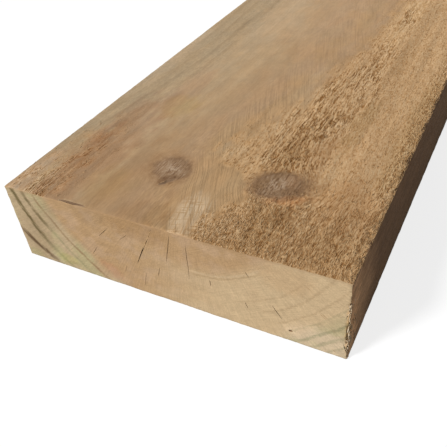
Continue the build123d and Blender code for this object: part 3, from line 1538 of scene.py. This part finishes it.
@dataclass
class Plank:
    """The plank itself: a fine mesh with torn grain, worn arrises and drying checks."""

    size: PlankSize
    trunk: Trunk
    relief: SawnRelief
    marks: PaintedMarks
    finishes: dict[Finish, Material]
    step_across: float = 3.4
    step_up: float = 3.5
    step_along: float = 3.4
    step_growth: float = 1.035
    near_length: float = 370.0
    finest_length: float = 215.0
    end_easing: float = 0.5
    edge_torn: float = 0.6
    under_torn: float = 0.55
    sharp_angle: float = 50.0
    # The near part of each long face fills this share of its length on the bake map
    near_map_share: float = 0.52
    finest_from: float = -4.0
    finest_edge_share: float = 0.25
    # The widest drying check, as in the CAD model, and the others' shares of it
    check_gape: float = 0.6
    check_depth: float = 22.0
    check_angles: tuple[float, ...] = (-27.0, -14.0, -2.0, -17.0, 32.5)
    check_spans: tuple[Pair, ...] = (
        (0.04, 0.58),
        (0.06, 0.43),
        (0.11, 0.57),
        (0.54, 0.67),
        (0.57, 0.73),
    )
    check_shares: tuple[float, ...] = (1.0, 0.6, 0.5, 0.5, 0.6)
    # The fine splits of the near end: their ends across and up, and their gape
    fine_splits: tuple[tuple[Pair, Pair, float], ...] = (
        ((-38.6, 33.4), (-30.0, 42.0), 0.28),
        ((-24.3, 35.6), (-17.9, 41.3), 0.25),
        ((-47.1, 17.7), (-41.4, 25.6), 0.25),
        ((-25.7, 12.0), (-23.6, 17.7), 0.22),
        ((-14.3, 4.9), (-10.7, 17.7), 0.22),
        ((28.7, 26.5), (29.0, 22.1), 0.4),
        ((48.9, 40.0), (50.9, 36.2), 0.3),
        ((47.6, 18.6), (49.0, 14.1), 0.35),
        ((70.3, 8.1), (72.5, 8.1), 1.5),
    )
    fine_depth_for_gape: float = 4.0
    # A split in a knot and a chip of the near arris: their ends across and along, gape and depth
    upper_splits: tuple[tuple[Pair, Pair, float, float], ...] = (
        ((-16.8, 31.3), (-10.8, 38.5), 2.4, 0.8),
        ((-62.0, 0.9), (-42.5, 1.0), 1.7, 2.0),
    )
    upper_sunk: float = 0.2
    # The wedge that cuts a split: its corners, how far it stands out and how its outline bends
    wedge_corners: int = 14
    wedge_proud: float = 1.0
    wedge_bend: float = 0.35
    wedge_pitch: float = 1.1

    # The left, right, lower and upper limits of each side on the bake map
    AREAS = {
        Side.UPPER: (0.005, 0.445, 0.005, 0.845),
        Side.UNDER: (0.455, 0.705, 0.005, 0.845),
        Side.RIGHT: (0.715, 0.855, 0.005, 0.845),
        Side.LEFT: (0.865, 0.995, 0.005, 0.845),
        Side.NEAR_END: (0.005, 0.6, 0.855, 0.995),
        Side.FAR_END: (0.61, 0.89, 0.855, 0.995),
    }
    # The corners on it of the walls inside the splits
    WALL_AREA = ((0.91, 0.87), (0.98, 0.87), (0.98, 0.98), (0.91, 0.98))
    # The axes that a side shows on it, by the axis that the side faces
    SHOWN_AXES = ((2, 1), (0, 2), (0, 1))

    def build(self) -> Thing:
        """Builds and dresses the plank.

        Returns:
            The finished piece.
        """
        bm = self.blank()
        self.refine(bm)
        bm.verts.ensure_lookup_table()
        points = np.array([vert.co for vert in bm.verts])
        mesh = mesh_of(bm, "sawn_plank")
        self.assign_finishes(mesh, points)
        self.lay_out(mesh, points)
        self.roughen(mesh, points)
        for finish in Finish:
            mesh.materials.append(self.finishes[finish])
        piece = put_in_scene(mesh)
        self.open_splits(piece)
        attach(piece, BODY)
        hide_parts(NODE)
        return piece

    def stations(self) -> tuple[Array, Array, Array]:
        """Sets out the grid lines of the blank.

        Returns:
            The places of the lines across, along and up.
        """
        half = self.size.width / 2
        across = np.linspace(-half, half, round(self.size.width / self.step_across) + 1)
        up = np.linspace(0.0, self.size.thickness, round(self.size.thickness / self.step_up) + 1)
        along = list(np.arange(0.0, self.near_length, self.step_along))
        step = self.step_along
        while along[-1] + step < self.size.length:
            along.append(along[-1] + step)
            step *= self.step_growth
        along = np.array(along) * self.size.length / along[-1]
        return across, along, up

    def blank(self) -> BMesh:
        """Makes the box of the plank as a grid that widens away from the near end.

        Returns:
            The mesh, on the plank in millimetres.
        """
        bm = bmesh.new()
        bmesh.ops.create_cube(bm, size=1.0)
        stations = self.stations()
        for axis, lines in enumerate(stations):
            edges = [e for e in bm.edges if abs(e.verts[0].co[axis] - e.verts[1].co[axis]) > TOUCH]
            bmesh.ops.subdivide_edges(bm, edges=edges, cuts=len(lines) - 2, use_grid_fill=True)
        for vert in bm.verts:
            vert.co = [lines[round((c + 0.5) * (len(lines) - 1))] for c, lines in zip(vert.co, stations)]
        return bm

    def refine(self, bm: BMesh) -> None:
        """Halves the grid where the near end shows most detail.

        Args:
            bm: The blank.
        """
        half, top = self.size.width / 2 - TOUCH, self.size.thickness - TOUCH

        def near(centre: Vector) -> bool:
            """Whether a face is on the upper face, right edge or end of the near part."""
            shown = centre.z > top or centre.x > half or centre.y < TOUCH
            return shown and centre.y < self.near_length

        def nearest(centre: Vector) -> bool:
            """Whether a face is on the near end, or on torn wood near it.

            Args:
                centre: The middle of the face.

            Returns:
                Whether its grid is halved once more.
            """
            torn = centre.z > top and centre.x > self.finest_from and centre.y < self.finest_length
            ragged = centre.x > half and centre.y < self.finest_length * self.finest_edge_share
            return centre.y < TOUCH or torn or ragged

        for test in (near, nearest):
            faces = [face for face in bm.faces if test(face.calc_center_median())]
            edges = list({edge for face in faces for edge in face.edges})
            bmesh.ops.subdivide_edges(bm, edges=edges, cuts=1, use_grid_fill=True)

    def sides(self, points: Array) -> dict[Side, Array]:
        """Sorts places on the plank's box by side.

        Args:
            points: Places on the box.

        Returns:
            For each side, whether each place is on it.
        """
        low, high = self.size.lowest(), self.size.highest()
        found = {}
        for side in Side:
            axis, is_high = side.value
            limit = high[axis] if is_high else low[axis]
            found[side] = np.abs(points[:, axis] - limit) < TOUCH
        return found

    @staticmethod
    def face_centres(mesh: Mesh, points: Array) -> Array:
        """Averages the corners of each face.

        Args:
            mesh: The mesh.
            points: The places of its vertices.

        Returns:
            A centre for each face.
        """
        corners = points[whole_numbers(mesh.loops, "vertex_index")]
        counts = whole_numbers(mesh.polygons, "loop_total")
        return np.add.reduceat(corners, whole_numbers(mesh.polygons, "loop_start")) / counts[:, None]

    def assign_finishes(self, mesh: Mesh, points: Array) -> None:
        """Gives each face the material slot of its side.

        Args:
            mesh: The mesh.
            points: The places of its vertices on the box.
        """
        sides = self.sides(self.face_centres(mesh, points))
        slots = np.full(len(mesh.polygons), Finish.FACE, np.int32)
        slots[sides[Side.LEFT] | sides[Side.RIGHT]] = Finish.EDGE
        slots[sides[Side.NEAR_END] | sides[Side.FAR_END]] = Finish.END
        mesh.polygons.foreach_set("material_index", slots)

    def lay_out(self, mesh: Mesh, points: Array) -> None:
        """Lays the six sides out on the bake map, with most room for the near part.

        Args:
            mesh: The mesh.
            points: The places of its vertices on the box.
        """
        shares = (points - self.size.lowest()) / (self.size.highest() - self.size.lowest())
        near_share = self.near_length / self.size.length
        shares[:, 1] = np.interp(shares[:, 1], [0.0, near_share, 1.0], [0.0, self.near_map_share, 1.0])
        corners = whole_numbers(mesh.loops, "vertex_index")
        counts = whole_numbers(mesh.polygons, "loop_total")
        places = np.zeros((len(corners), 2))
        for side, on_side in self.sides(self.face_centres(mesh, points)).items():
            left, right, low, high = self.AREAS[side]
            wide, tall = self.SHOWN_AXES[side.value[0]]
            chosen = np.repeat(on_side, counts)
            places[chosen, 0] = left + (right - left) * shares[corners[chosen], wide]
            places[chosen, 1] = low + (high - low) * shares[corners[chosen], tall]
        mesh.uv_layers.new(name=BAKE_MAP).data.foreach_set("uv", places.ravel())

    def roughen(self, mesh: Mesh, points: Array) -> None:
        """Eases the arrises, tears the faces and puts the mesh in the frame.

        Args:
            mesh: The mesh.
            points: The places of its vertices on the box.
        """
        sides = self.sides(points)
        across, along, up = points.T
        torn = self.relief.torn(across, along)
        gouged = self.relief.gouged(across, along)
        torn = np.where(sides[Side.UPPER], torn, self.under_torn)
        torn = np.where((sides[Side.LEFT] | sides[Side.RIGHT]) & ~sides[Side.UPPER], self.edge_torn, torn)
        gouged = np.where(sides[Side.UPPER], gouged, 0.0)
        for name, values in (("torn", torn), ("gouged", gouged)):
            mesh.attributes.new(name, "FLOAT", "POINT").data.foreach_set("value", values)
        tints = np.ones((len(points), 4))
        tints[:, :3] = np.where(sides[Side.UPPER][:, None], self.marks.tints(across, along), 1.0)
        mesh.attributes.new("tint", "FLOAT_COLOR", "POINT").data.foreach_set("color", tints.ravel())

        radius = self.relief.arris_radius(points)
        end_easing = self.end_easing + self.relief.chip_depth * self.relief.corner_chips(points)
        easing = np.stack([radius, end_easing, radius], axis=1)
        inner = np.clip(points, self.size.lowest() + easing, self.size.highest() - easing)
        reach = (points - inner) / easing
        eased = inner + easing * unit(reach)

        edge_depth = self.relief.plain_depth(up, along, self.edge_torn)
        end_depth = self.relief.end_depth(across, up)
        depths = {
            Side.UPPER: self.relief.upper_depth(across, along),
            Side.UNDER: self.relief.plain_depth(across, along, self.under_torn),
            Side.RIGHT: edge_depth,
            Side.LEFT: edge_depth,
            Side.NEAR_END: end_depth,
            Side.FAR_END: end_depth,
        }
        for side, depth in depths.items():
            axis, is_high = side.value
            eased[:, axis] += np.where(sides[side], -depth if is_high else depth, 0.0)
        eased[:, 0] -= self.relief.notches(points)
        mesh.vertices.foreach_set("co", self.size.in_frame(eased).ravel())
        mesh.shade_smooth()
        mesh.set_sharp_from_angle(angle=radians(self.sharp_angle))

    def splits(self) -> list[Split]:
        """Lists the splits in the wood.

        Returns:
            The drying checks of the CAD model, then the finer marks of the near end and of a knot.
        """
        inward = (0.0, 1.0, 0.0)
        found = []
        for angle, span, share in zip(self.check_angles, self.check_spans, self.check_shares):
            start, end = (self.trunk.ray_point(angle, part * self.size.thickness) for part in span)
            found.append(Split(start, end, self.check_gape * share, self.check_depth * share, inward))
        for (left, upper), (right, lower), gape in self.fine_splits:
            start, end = np.array([[left, 0.0, upper], [right, 0.0, lower]])
            found.append(Split(start, end, gape, self.fine_depth_for_gape * gape, inward))
        surface = self.size.thickness - self.upper_sunk
        for mouth_start, mouth_end, gape, depth in self.upper_splits:
            start, end = np.array([[*mouth_start, surface], [*mouth_end, surface]])
            found.append(Split(start, end, gape, depth, (0.0, 0.0, -1.0)))
        return found

    def open_splits(self, piece: Thing) -> None:
        """Cuts the splits out of the plank.

        Args:
            piece: The plank.
        """
        bm = bmesh.new()
        layer = bm.loops.layers.uv.new(BAKE_MAP)
        for split in self.splits():
            self.add_cutter(bm, split)
        for face in bm.faces:
            face.material_index = Finish.CHECK
            for loop, place in zip(face.loops, self.WALL_AREA):
                loop[layer].uv = place
        bmesh.ops.recalc_face_normals(bm, faces=bm.faces)
        cutter = put_in_scene(mesh_of(bm, "splits"))
        cut = piece.modifiers.new("splits", "BOOLEAN")
        cut.object = cutter
        cut.operation = "DIFFERENCE"
        cut.solver = "EXACT"
        graph = bpy.context.evaluated_depsgraph_get()
        opened = bpy.data.meshes.new_from_object(piece.evaluated_get(graph))
        piece.modifiers.clear()
        piece.data = opened
        opened.name = piece.name
        bpy.data.objects.remove(cutter)

    def add_cutter(self, bm: BMesh, split: Split) -> None:
        """Adds the wedge that a split is cut with, its outline bent a little out of line.

        Args:
            bm: The mesh that gets the wedge.
            split: The split.
        """
        lengthwise = Vector(split.end - split.start)
        middle = Vector((split.start + split.end) / 2)
        inward = Vector(split.inward)
        crosswise = inward.cross(lengthwise.normalized())
        full = 1.0 + self.wedge_proud / split.depth
        sides = (crosswise * split.gape / 2, lengthwise / 2, inward * split.depth)
        turn = Matrix([side * full for side in sides]).transposed().to_4x4()
        move = Matrix.Translation(middle + inward * (split.depth - self.wedge_proud) / 2)
        made = bmesh.ops.create_cone(
            bm, cap_ends=True, segments=self.wedge_corners, radius1=1.0, radius2=0.0, depth=1.0
        )
        for vert in made["verts"]:
            place = vert.co.y * lengthwise.length / 2 + middle.x
            vert.co.x += self.wedge_bend * np.sin(place * self.wedge_pitch) * (1.0 - abs(vert.co.y))
        bmesh.ops.transform(bm, matrix=move @ turn, verts=made["verts"])
        for vert in made["verts"]:
            vert.co = self.size.in_frame(np.array(vert.co))


@dataclass(frozen=True)
class FibreKind:
    """A kind of fibre: how many there are, the way that they lift, and the limits of their sizes."""

    count: int
    lift: Point
    length: Pair
    width: Pair
    curl: Pair
    tone: Pair = (0.0, 1.0)

    def draw(self, rng: Random) -> list[Array]:
        """Draws the lengths, then the widths, the curls and the tones."""
        limits = (self.length, self.width, self.curl, self.tone)
        return [rng.uniform(*pair, self.count) for pair in limits]


@dataclass
class FibrePlaces:
    """Where fibres stand: their roots, the ways that they run and lift, and their sizes."""

    roots: Array
    runs: Array
    lift: Point
    lengths: Array
    widths: Array
    curls: Array
    tones: Array


@dataclass
class RaisedFibres:
    """Slivers of wood that the saw tore loose at one end."""

    size: PlankSize
    relief: SawnRelief
    material: Material
    # The near-white splinters of the corner, whose colour is painted light
    pale_material: Material
    seed: int = 5
    rows: int = 2
    tip_radius: float = 0.1
    # The thickness of a sliver, as a share of its width
    flatness: float = 0.6
    # The fibres of the upper face, most of them in its near part and most of them running forward
    tries: int = 46000
    crowded_share: float = 0.7
    crowded_length: float = 420.0
    margin: float = 1.0
    far_margin: float = 12.0
    forward_share: float = 0.7
    arris: FibreKind = FibreKind(2600, (0.0, 0.0, 1.0), (1.2, 4.2), (0.3, 0.65), (-0.4, 1.0))
    corner: FibreKind = FibreKind(70, (0.6, -0.8, 0.0), (2.5, 7.5), (0.45, 1.2), (-0.4, 1.4), (0.3, 1.0))
    # The slivers in the widest check: its ray, and the depths between which they bridge it
    check: FibreKind = FibreKind(26, (0.0, -1.0, 0.0), (2.5, 5.5), (0.25, 0.55), (-0.1, 0.05), (0.7, 1.0))
    check_angle: float = -27.0
    bridged: Pair = (2.0, 15.0)

    def sliver(self) -> tuple[Array, Array]:
        """Makes one sliver, a slim three-sided spike a unit long.

        Returns:
            Its vertices and its triangles.
        """
        bm = bmesh.new()
        bmesh.ops.create_cone(bm, cap_ends=True, segments=3, radius1=0.5, radius2=self.tip_radius, depth=1.0)
        long_edges = [e for e in bm.edges if abs(e.verts[0].co.z - e.verts[1].co.z) > 0.5]
        bmesh.ops.subdivide_edges(bm, edges=long_edges, cuts=self.rows - 1, use_grid_fill=True)
        bmesh.ops.triangulate(bm, faces=bm.faces)
        bm.verts.index_update()
        points = np.array([(v.co.x, v.co.z + 0.5, v.co.y) for v in bm.verts])
        faces = np.array([[v.index for v in reversed(f.verts)] for f in bm.faces])
        bm.free()
        return points, faces

    def scatter(self, name: str, places: FibrePlaces, material: Material) -> Thing:
        """Joins a sliver at each place into one piece.

        Args:
            name: The piece's name.
            places: Where the slivers stand.
            material: Their material.

        Returns:
            The piece.
        """
        points, faces = self.sliver()
        count = len(places.roots)
        wide, long, high = points.T
        widths, lengths = places.widths[:, None], places.lengths[:, None]
        rises = high * (widths * self.flatness) + places.curls[:, None] * long ** 2
        lift = np.array([places.lift])
        asides = unit(np.cross(places.runs, lift))
        made = places.roots[:, None, :]
        for ways, reaches in ((asides, wide * widths), (places.runs, long * lengths), (lift, rises)):
            made = made + ways[:, None, :] * reaches[:, :, None]
        made = np.clip(made, self.size.lowest(), self.size.highest())
        made = self.size.in_frame(made.reshape(-1, 3))
        joined = faces[None, :, :] + len(points) * np.arange(count)[:, None, None]
        mesh = bpy.data.meshes.new(name)
        mesh.from_pydata(made.tolist(), [], joined.reshape(-1, 3).tolist())
        tones = np.repeat(places.tones, faces.size)
        on_map = np.stack([tones, np.tile(long[faces.ravel()], count)], axis=1)
        mesh.uv_layers.new(name=BAKE_MAP).data.foreach_set("uv", on_map.ravel())
        mesh.materials.append(material)
        mesh.shade_smooth()
        piece = put_in_scene(mesh)
        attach(piece, BODY)
        return piece

    def build(self) -> list[Thing]:
        """Builds the fibres of the upper face, its right arris, the near corner and a drying check.

        Returns:
            The four pieces.
        """
        rng = np.random.default_rng(self.seed)
        return [
            self.scatter("raised_fibres", self.upper_places(rng), self.material),
            self.scatter("arris_fibres", self.arris_places(rng), self.material),
            self.scatter("corner_splinters", self.corner_places(rng), self.pale_material),
            self.scatter("check_slivers", self.check_places(rng), self.material),
        ]

    def upper_places(self, rng: Random) -> FibrePlaces:
        """Strews fibres over the torn grain of the upper face.

        Args:
            rng: The source of random numbers.

        Returns:
            Their places.
        """
        half = self.size.width / 2 - self.margin
        crowded = rng.random(self.tries) < self.crowded_share
        reach = np.where(crowded, self.crowded_length, self.size.length - self.far_margin)
        across = rng.uniform(-half, half, self.tries)
        along = self.margin + rng.random(self.tries) * reach
        share = self.relief.torn(across, along)
        kept = rng.random(self.tries) < share ** 2 * (1.0 - self.relief.knot_rise(across, along))
        across, along = across[kept], along[kept]
        count = len(across)
        depth = self.relief.upper_depth(across, along)
        roots = np.stack([across, along, self.size.thickness - depth - 0.05], axis=1)
        forward = np.where(rng.random(count) < self.forward_share, 1.0, -1.0)
        slant = rng.normal(-0.04, 0.3, count) * forward
        runs = unit(np.stack([slant, forward, np.zeros(count)], axis=1))
        widths = 0.2 + 0.3 * rng.random(count) ** 2
        lengths = np.clip(widths * rng.uniform(4.5, 9.0, count), 1.0, 3.0)
        lengths = np.minimum(lengths, np.where(forward < 0, along, self.size.length - along))
        curls = np.minimum(rng.uniform(0.05, 0.9, count), 0.95 * depth)
        return FibrePlaces(roots, runs, (0.0, 0.0, 1.0), lengths, widths, curls, rng.random(count))

    def arris_places(self, rng: Random) -> FibrePlaces:
        """Strews fibres along the worn upper arris on the right, mostly towards the near end.

        Args:
            rng: The source of random numbers.

        Returns:
            Their places.
        """
        count = self.arris.count
        along = 2.0 + rng.random(count) ** 1.8 * (self.size.length - 20.0)
        across = self.size.width / 2 - 0.3 - 3.5 * rng.random(count) ** 1.5
        depth = self.relief.upper_depth(across, along) + self.relief.arris_drop(across, along)
        roots = np.stack([across, along, self.size.thickness - depth - 0.1], axis=1)
        forward = rng.choice([-1.0, 1.0], count)
        slant = rng.uniform(0.0, 0.7, count)
        runs = np.stack([slant, forward, rng.uniform(-0.15, 0.2, count)], axis=1)
        lengths, widths, curls, tones = self.arris.draw(rng)
        curls = curls * np.minimum(depth, 1.0)
        return FibrePlaces(roots, unit(runs), self.arris.lift, lengths, widths, curls, tones)

    def corner_places(self, rng: Random) -> FibrePlaces:
        """Strews splinters down the chipped corner between the near end and the right edge.

        Args:
            rng: The source of random numbers.

        Returns:
            Their places.
        """
        count = self.corner.count
        along = 0.1 + 10.0 * rng.random(count) ** 1.8
        across = self.size.width / 2 - rng.uniform(0.05, 0.5, count)
        up = rng.uniform(3.0, 38.0, count)
        slants = [rng.normal(0.0, spread, count) for spread in (0.25, 0.4)]
        runs = np.stack([*slants, rng.choice([-1.0, 1.0], count)], axis=1)
        lengths, *sizes = self.corner.draw(rng)
        lengths = np.minimum(lengths, np.where(runs[:, 2] < 0, up, np.inf))
        roots = np.stack([across, along, up], axis=1)
        return FibrePlaces(roots, unit(runs), self.corner.lift, lengths, *sizes)

    def check_places(self, rng: Random) -> FibrePlaces:
        """Lays pale slivers in the upper part of the widest drying check.

        Args:
            rng: The source of random numbers.

        Returns:
            Their places.
        """
        count = self.check.count
        top, bottom = (self.relief.trunk.ray_point(self.check_angle, depth) for depth in self.bridged)
        roots = top + (bottom - top) * rng.random((count, 1))
        roots[:, 0] += rng.normal(0.0, 0.08, count)
        roots[:, 1] += rng.uniform(0.0, 0.1, count)
        runs = np.tile((bottom - top) / np.linalg.norm(bottom - top), (count, 1))
        runs[:, 0] += rng.normal(0.0, 0.05, count)
        return FibrePlaces(roots, unit(runs), self.check.lift, *self.check.draw(rng))


@dataclass(frozen=True)
class FloorFinish:
    """A white floor that glows to the eye, so that it reads as paper, and keeps a soft shadow."""

    name: str = "white_floor"
    seen: Colour = (0.9, 0.9, 0.9)
    bounced: Colour = (0.24, 0.23, 0.22)
    seen_share: float = 0.26
    glow: float = 0.8

    def material(self) -> Material:
        """Makes the material.

        Returns:
            The material.
        """
        material = bpy.data.materials.new(self.name)
        material.use_nodes = True
        sheet = NodeSheet(material.node_tree)
        material.node_tree.nodes.remove(material.node_tree.nodes["Principled BSDF"])
        plain = sheet.add("BsdfDiffuse", {"Color": self.bounced}).outputs[0]
        shown = tuple(self.seen_share * part for part in self.seen)
        lit = sheet.add("BsdfDiffuse", {"Color": shown}).outputs[0]
        glow = sheet.add("Emission", {"Color": WHITE, "Strength": self.glow}).outputs[0]
        both = sheet.add("AddShader", {0: lit, 1: glow}).outputs[0]
        surface = sheet.add("MixShader", {0: sheet.watched(), 1: plain, 2: both}).outputs[0]
        sheet.feed(material.node_tree.nodes["Material Output"].inputs["Surface"], surface)
        return material


@dataclass
class Studio:
    """The floor, the light and the camera."""

    size: PlankSize
    floor_size: float = 14000.0
    key_from: Point = (-0.42, -0.64, 0.64)
    key_strength: float = 3.75
    key_spread: float = 12.0
    sky: float = 0.24
    eye: Point = (141.8, -164.84, 223.43)
    aim: Point = (31.32, 14.94, 52.0)
    roll: float = -6.53
    sensor: float = 36.0
    lens: float = 45.51
    clip: Pair = (0.01, 100.0)

    def build(self) -> None:
        """Builds the floor, the light and the camera."""
        self.lay_floor()
        self.light()
        self.set_camera()
        bpy.context.scene.view_settings.view_transform = "Standard"

    def lay_floor(self) -> None:
        """Lays the floor that the plank rests on."""
        bm = bmesh.new()
        bmesh.ops.create_grid(bm, x_segments=1, y_segments=1, size=self.floor_size * MM / 2)
        mesh = mesh_of(bm, "floor")
        mesh.materials.append(FloorFinish().material())
        floor = put_in_scene(mesh)

    def light(self) -> None:
        """Hangs a broad key light in front on the left, and a pale sky."""
        lamp = bpy.data.lights.new("key", "SUN")
        lamp.energy = self.key_strength
        lamp.angle = radians(self.key_spread)
        key = put_in_scene(lamp)
        key.rotation_euler = Vector(self.key_from).to_track_quat("Z", "Y").to_euler()
        world = bpy.data.worlds.new("sky")
        world.use_nodes = True
        sheet = NodeSheet(world.node_tree)
        background = world.node_tree.nodes["Background"]
        background.inputs["Color"].default_value = (*WHITE, 1.0)
        sheet.feed(background.inputs["Strength"], sheet.fade(sheet.watched(), 0.0, 1.0, self.sky, 1.0))
        bpy.context.scene.world = world

    def set_camera(self) -> None:
        """Stands the camera where the photograph was taken from."""
        camera = bpy.data.cameras.new("camera")
        camera.sensor_width = self.sensor
        camera.lens = self.lens
        camera.clip_start, camera.clip_end = self.clip
        eye, aim = (Vector(self.size.in_frame(np.array(place))) for place in (self.eye, self.aim))
        turn = (aim - eye).to_track_quat("-Z", "Y") @ Quaternion((0.0, 0.0, 1.0), radians(self.roll))
        stand = put_in_scene(camera)
        stand.matrix_world = Matrix.Translation(eye) @ turn.to_matrix().to_4x4()
        bpy.context.scene.camera = stand


def make_finishes(effects: WoodEffects) -> dict[Finish, Material]:
    """Makes the plank's materials.

    Args:
        effects: The shared node groups.

    Returns:
        A material for each slot.
    """
    face = SawnFinish(
        name="sawn_face",
        zones=(
            (30.0, (0.415, 0.264, 0.135)),
            (42.0, (0.415, 0.264, 0.138)),
            (50.0, (0.415, 0.267, 0.15)),
            (66.0, (0.41, 0.27, 0.149)),
            (80.0, (0.445, 0.308, 0.178)),
            (98.0, (0.445, 0.315, 0.187)),
            (112.0, (0.40, 0.29, 0.175)),
        ),
        # The torn grain's colours, from painted shade in its pits to painted light on its tufts
        tones=(
            (0.24, (0.24, 0.108, 0.03)),
            (0.42, (0.45, 0.26, 0.115)),
            (0.56, (0.55, 0.348, 0.178)),
            (0.74, (0.72, 0.515, 0.30)),
        ),
        late=(0.235, 0.155, 0.08),
        spots=(
            Spot((14.0, 14.0, 52.0), (12.0, 22.0, 12.0), (1.28, 1.46, 1.77), 1.0, lean=15.0, laddered=True),
        ),
    )
    # The sides: a darker copy of the sawn face, partly rough, dirty wood and partly painted shade on the
    # sides turned away from the key light
    edge = SawnFinish(
        name="sawn_edge",
        zones=(
            (80.0, (0.205, 0.115, 0.064)),
            (100.0, (0.21, 0.124, 0.07)),
            (130.0, (0.2, 0.127, 0.074)),
        ),
        # The torn grain's colours, from painted shade in its pits to painted light on its tufts
        tones=(
            (0.24, (0.075, 0.039, 0.019)),
            (0.5, (0.2, 0.115, 0.061)),
            (0.74, (0.34, 0.21, 0.115)),
        ),
        late=(0.15, 0.09, 0.048),
        blotched=0.28,
        spots=(
            # Paler towards the near end: painted light on the part of the right edge nearest the corner
            Spot((100.0, 0.0, 24.0), (16.0, 44.0, 46.0), (2.6, 2.65, 2.7)),
            Spot((100.0, 0.0, 22.0), (16.0, 16.0, 30.0), (1.7, 1.65, 1.55), 1.0, 1.6),
            # A pale strip along the top of the right edge: painted highlight on its worn upper arris
            Spot((100.0, 230.0, 53.0), (16.0, 225.0, 4.6), (2.4, 2.5, 2.6), 1.0, 1.4),
        ),
    )
    olive = (0.16, 0.12, 0.052)
    brown = (0.14, 0.085, 0.042)
    buff = (0.3, 0.195, 0.1)
    grey = (0.28, 0.245, 0.135)
    straw = (0.62, 0.475, 0.3)
    end = DockedFinish(
        bands=(
            RingBand(61.0, 0.9, buff, 0.32, (0.0, 38.0)),
            RingBand(59.6, 1.0, straw, 0.38, (0.0, 40.0)),
            RingBand(76.0, 0.9, buff, 0.25, (18.0, 50.0)),
            RingBand(105.0, 1.4, buff, 0.8, (-68.0, -34.0)),
            RingBand(112.2, 2.2, olive, 0.8, (-70.0, -55.0)),
            RingBand(112.4, 1.6, grey, 0.5, (-55.0, -38.0)),
            RingBand(120.6, 2.6, olive, 0.95, (-74.0, -52.0), 12.0),
            RingBand(122.6, 1.6, grey, 0.5, (-52.0, -40.0)),
            RingBand(133.2, 3.0, brown, 0.95, (-60.0, -47.0), -30.0),
            RingBand(83.5, 1.2, buff, 0.25, (28.0, 64.0)),
            RingBand(91.0, 1.0, buff, 0.25, (30.0, 64.0)),
            RingBand(97.0, 1.0, grey, 0.3, (33.0, 60.0)),
            RingBand(103.5, 1.4, grey, 0.7, (33.0, 57.0)),
            RingBand(108.6, 1.5, grey, 0.6, (36.0, 55.0)),
            RingBand(113.5, 1.3, grey, 0.45, (38.0, 56.0)),
        ),
        spots=(
            Spot((-12.0, 0.0, 48.0), (24.0, 9.0, 11.0), (0.84, 0.79, 0.72)),
            Spot((-42.0, 0.0, 47.0), (12.0, 9.0, 9.0), (0.88, 0.88, 0.88)),
            Spot((-72.0, 0.0, 38.0), (7.0, 9.0, 14.0), (0.89, 0.89, 0.88)),
            Spot((70.0, 0.0, 42.0), (17.0, 9.0, 11.0), (0.93, 0.88, 0.84)),
            Spot((-39.0, 0.0, 9.0), (12.0, 9.0, 8.0), (0.98, 0.86, 0.86)),
            Spot((6.0, 0.0, 4.0), (30.0, 9.0, 6.0), (1.03, 1.06, 1.08)),
            Spot((-68.0, 0.0, 7.0), (9.0, 9.0, 5.0), (0.93, 1.02, 0.78)),
            Spot((-86.0, 0.0, 17.0), (14.0, 9.0, 26.0), (0.84, 0.82, 0.8)),
            Spot((86.0, 0.0, 6.0), (22.0, 9.0, 13.0), (1.25, 1.28, 1.4)),
            Spot((-79.0, 0.0, 5.0), (8.0, 9.0, 6.0), (1.16, 1.2, 1.28)),
            Spot((101.0, 0.0, 20.0), (3.5, 9.0, 25.0), (1.2, 0.96, 0.72)),
        ),
    )
    return {
        Finish.FACE: face.material(effects),
        Finish.EDGE: edge.material(effects),
        Finish.END: end.material(effects),
        Finish.CHECK: CheckFinish().material(effects),
    }


def report(piece: Thing) -> None:
    """Logs a piece's name and how many triangles it has."""
    triangles = sum(len(face.vertices) - 2 for face in piece.data.polygons)
    LOG.info("%s: %d triangles", piece.name, triangles)


def main() -> None:
    """Builds the plank, its raised fibres and the studio, in that order."""
    logging.basicConfig(level=logging.INFO, format="%(name)s: %(message)s")
    size = PlankSize.from_frame(NODE)
    trunk = Trunk()
    relief = SawnRelief(size, trunk)
    effects = WoodEffects(trunk, size)
    report(Plank(size, trunk, relief, PaintedMarks(), make_finishes(effects)).build())
    fibre = FibreFinish()
    # The corner splinters get a near-white colour, painted light for the light that they catch at the corner
    splinter = FibreFinish(
        name="pale_splinter",
        dark_root=(0.42, 0.27, 0.14),
        pale_root=(0.7, 0.54, 0.35),
        dark_tip=(0.75, 0.59, 0.39),
        pale_tip=(0.92, 0.8, 0.62),
    )
    for piece in RaisedFibres(size, relief, fibre.material(), splinter.material()).build():
        report(piece)
    Studio(size).build()


if __name__ == "__main__":
    main()
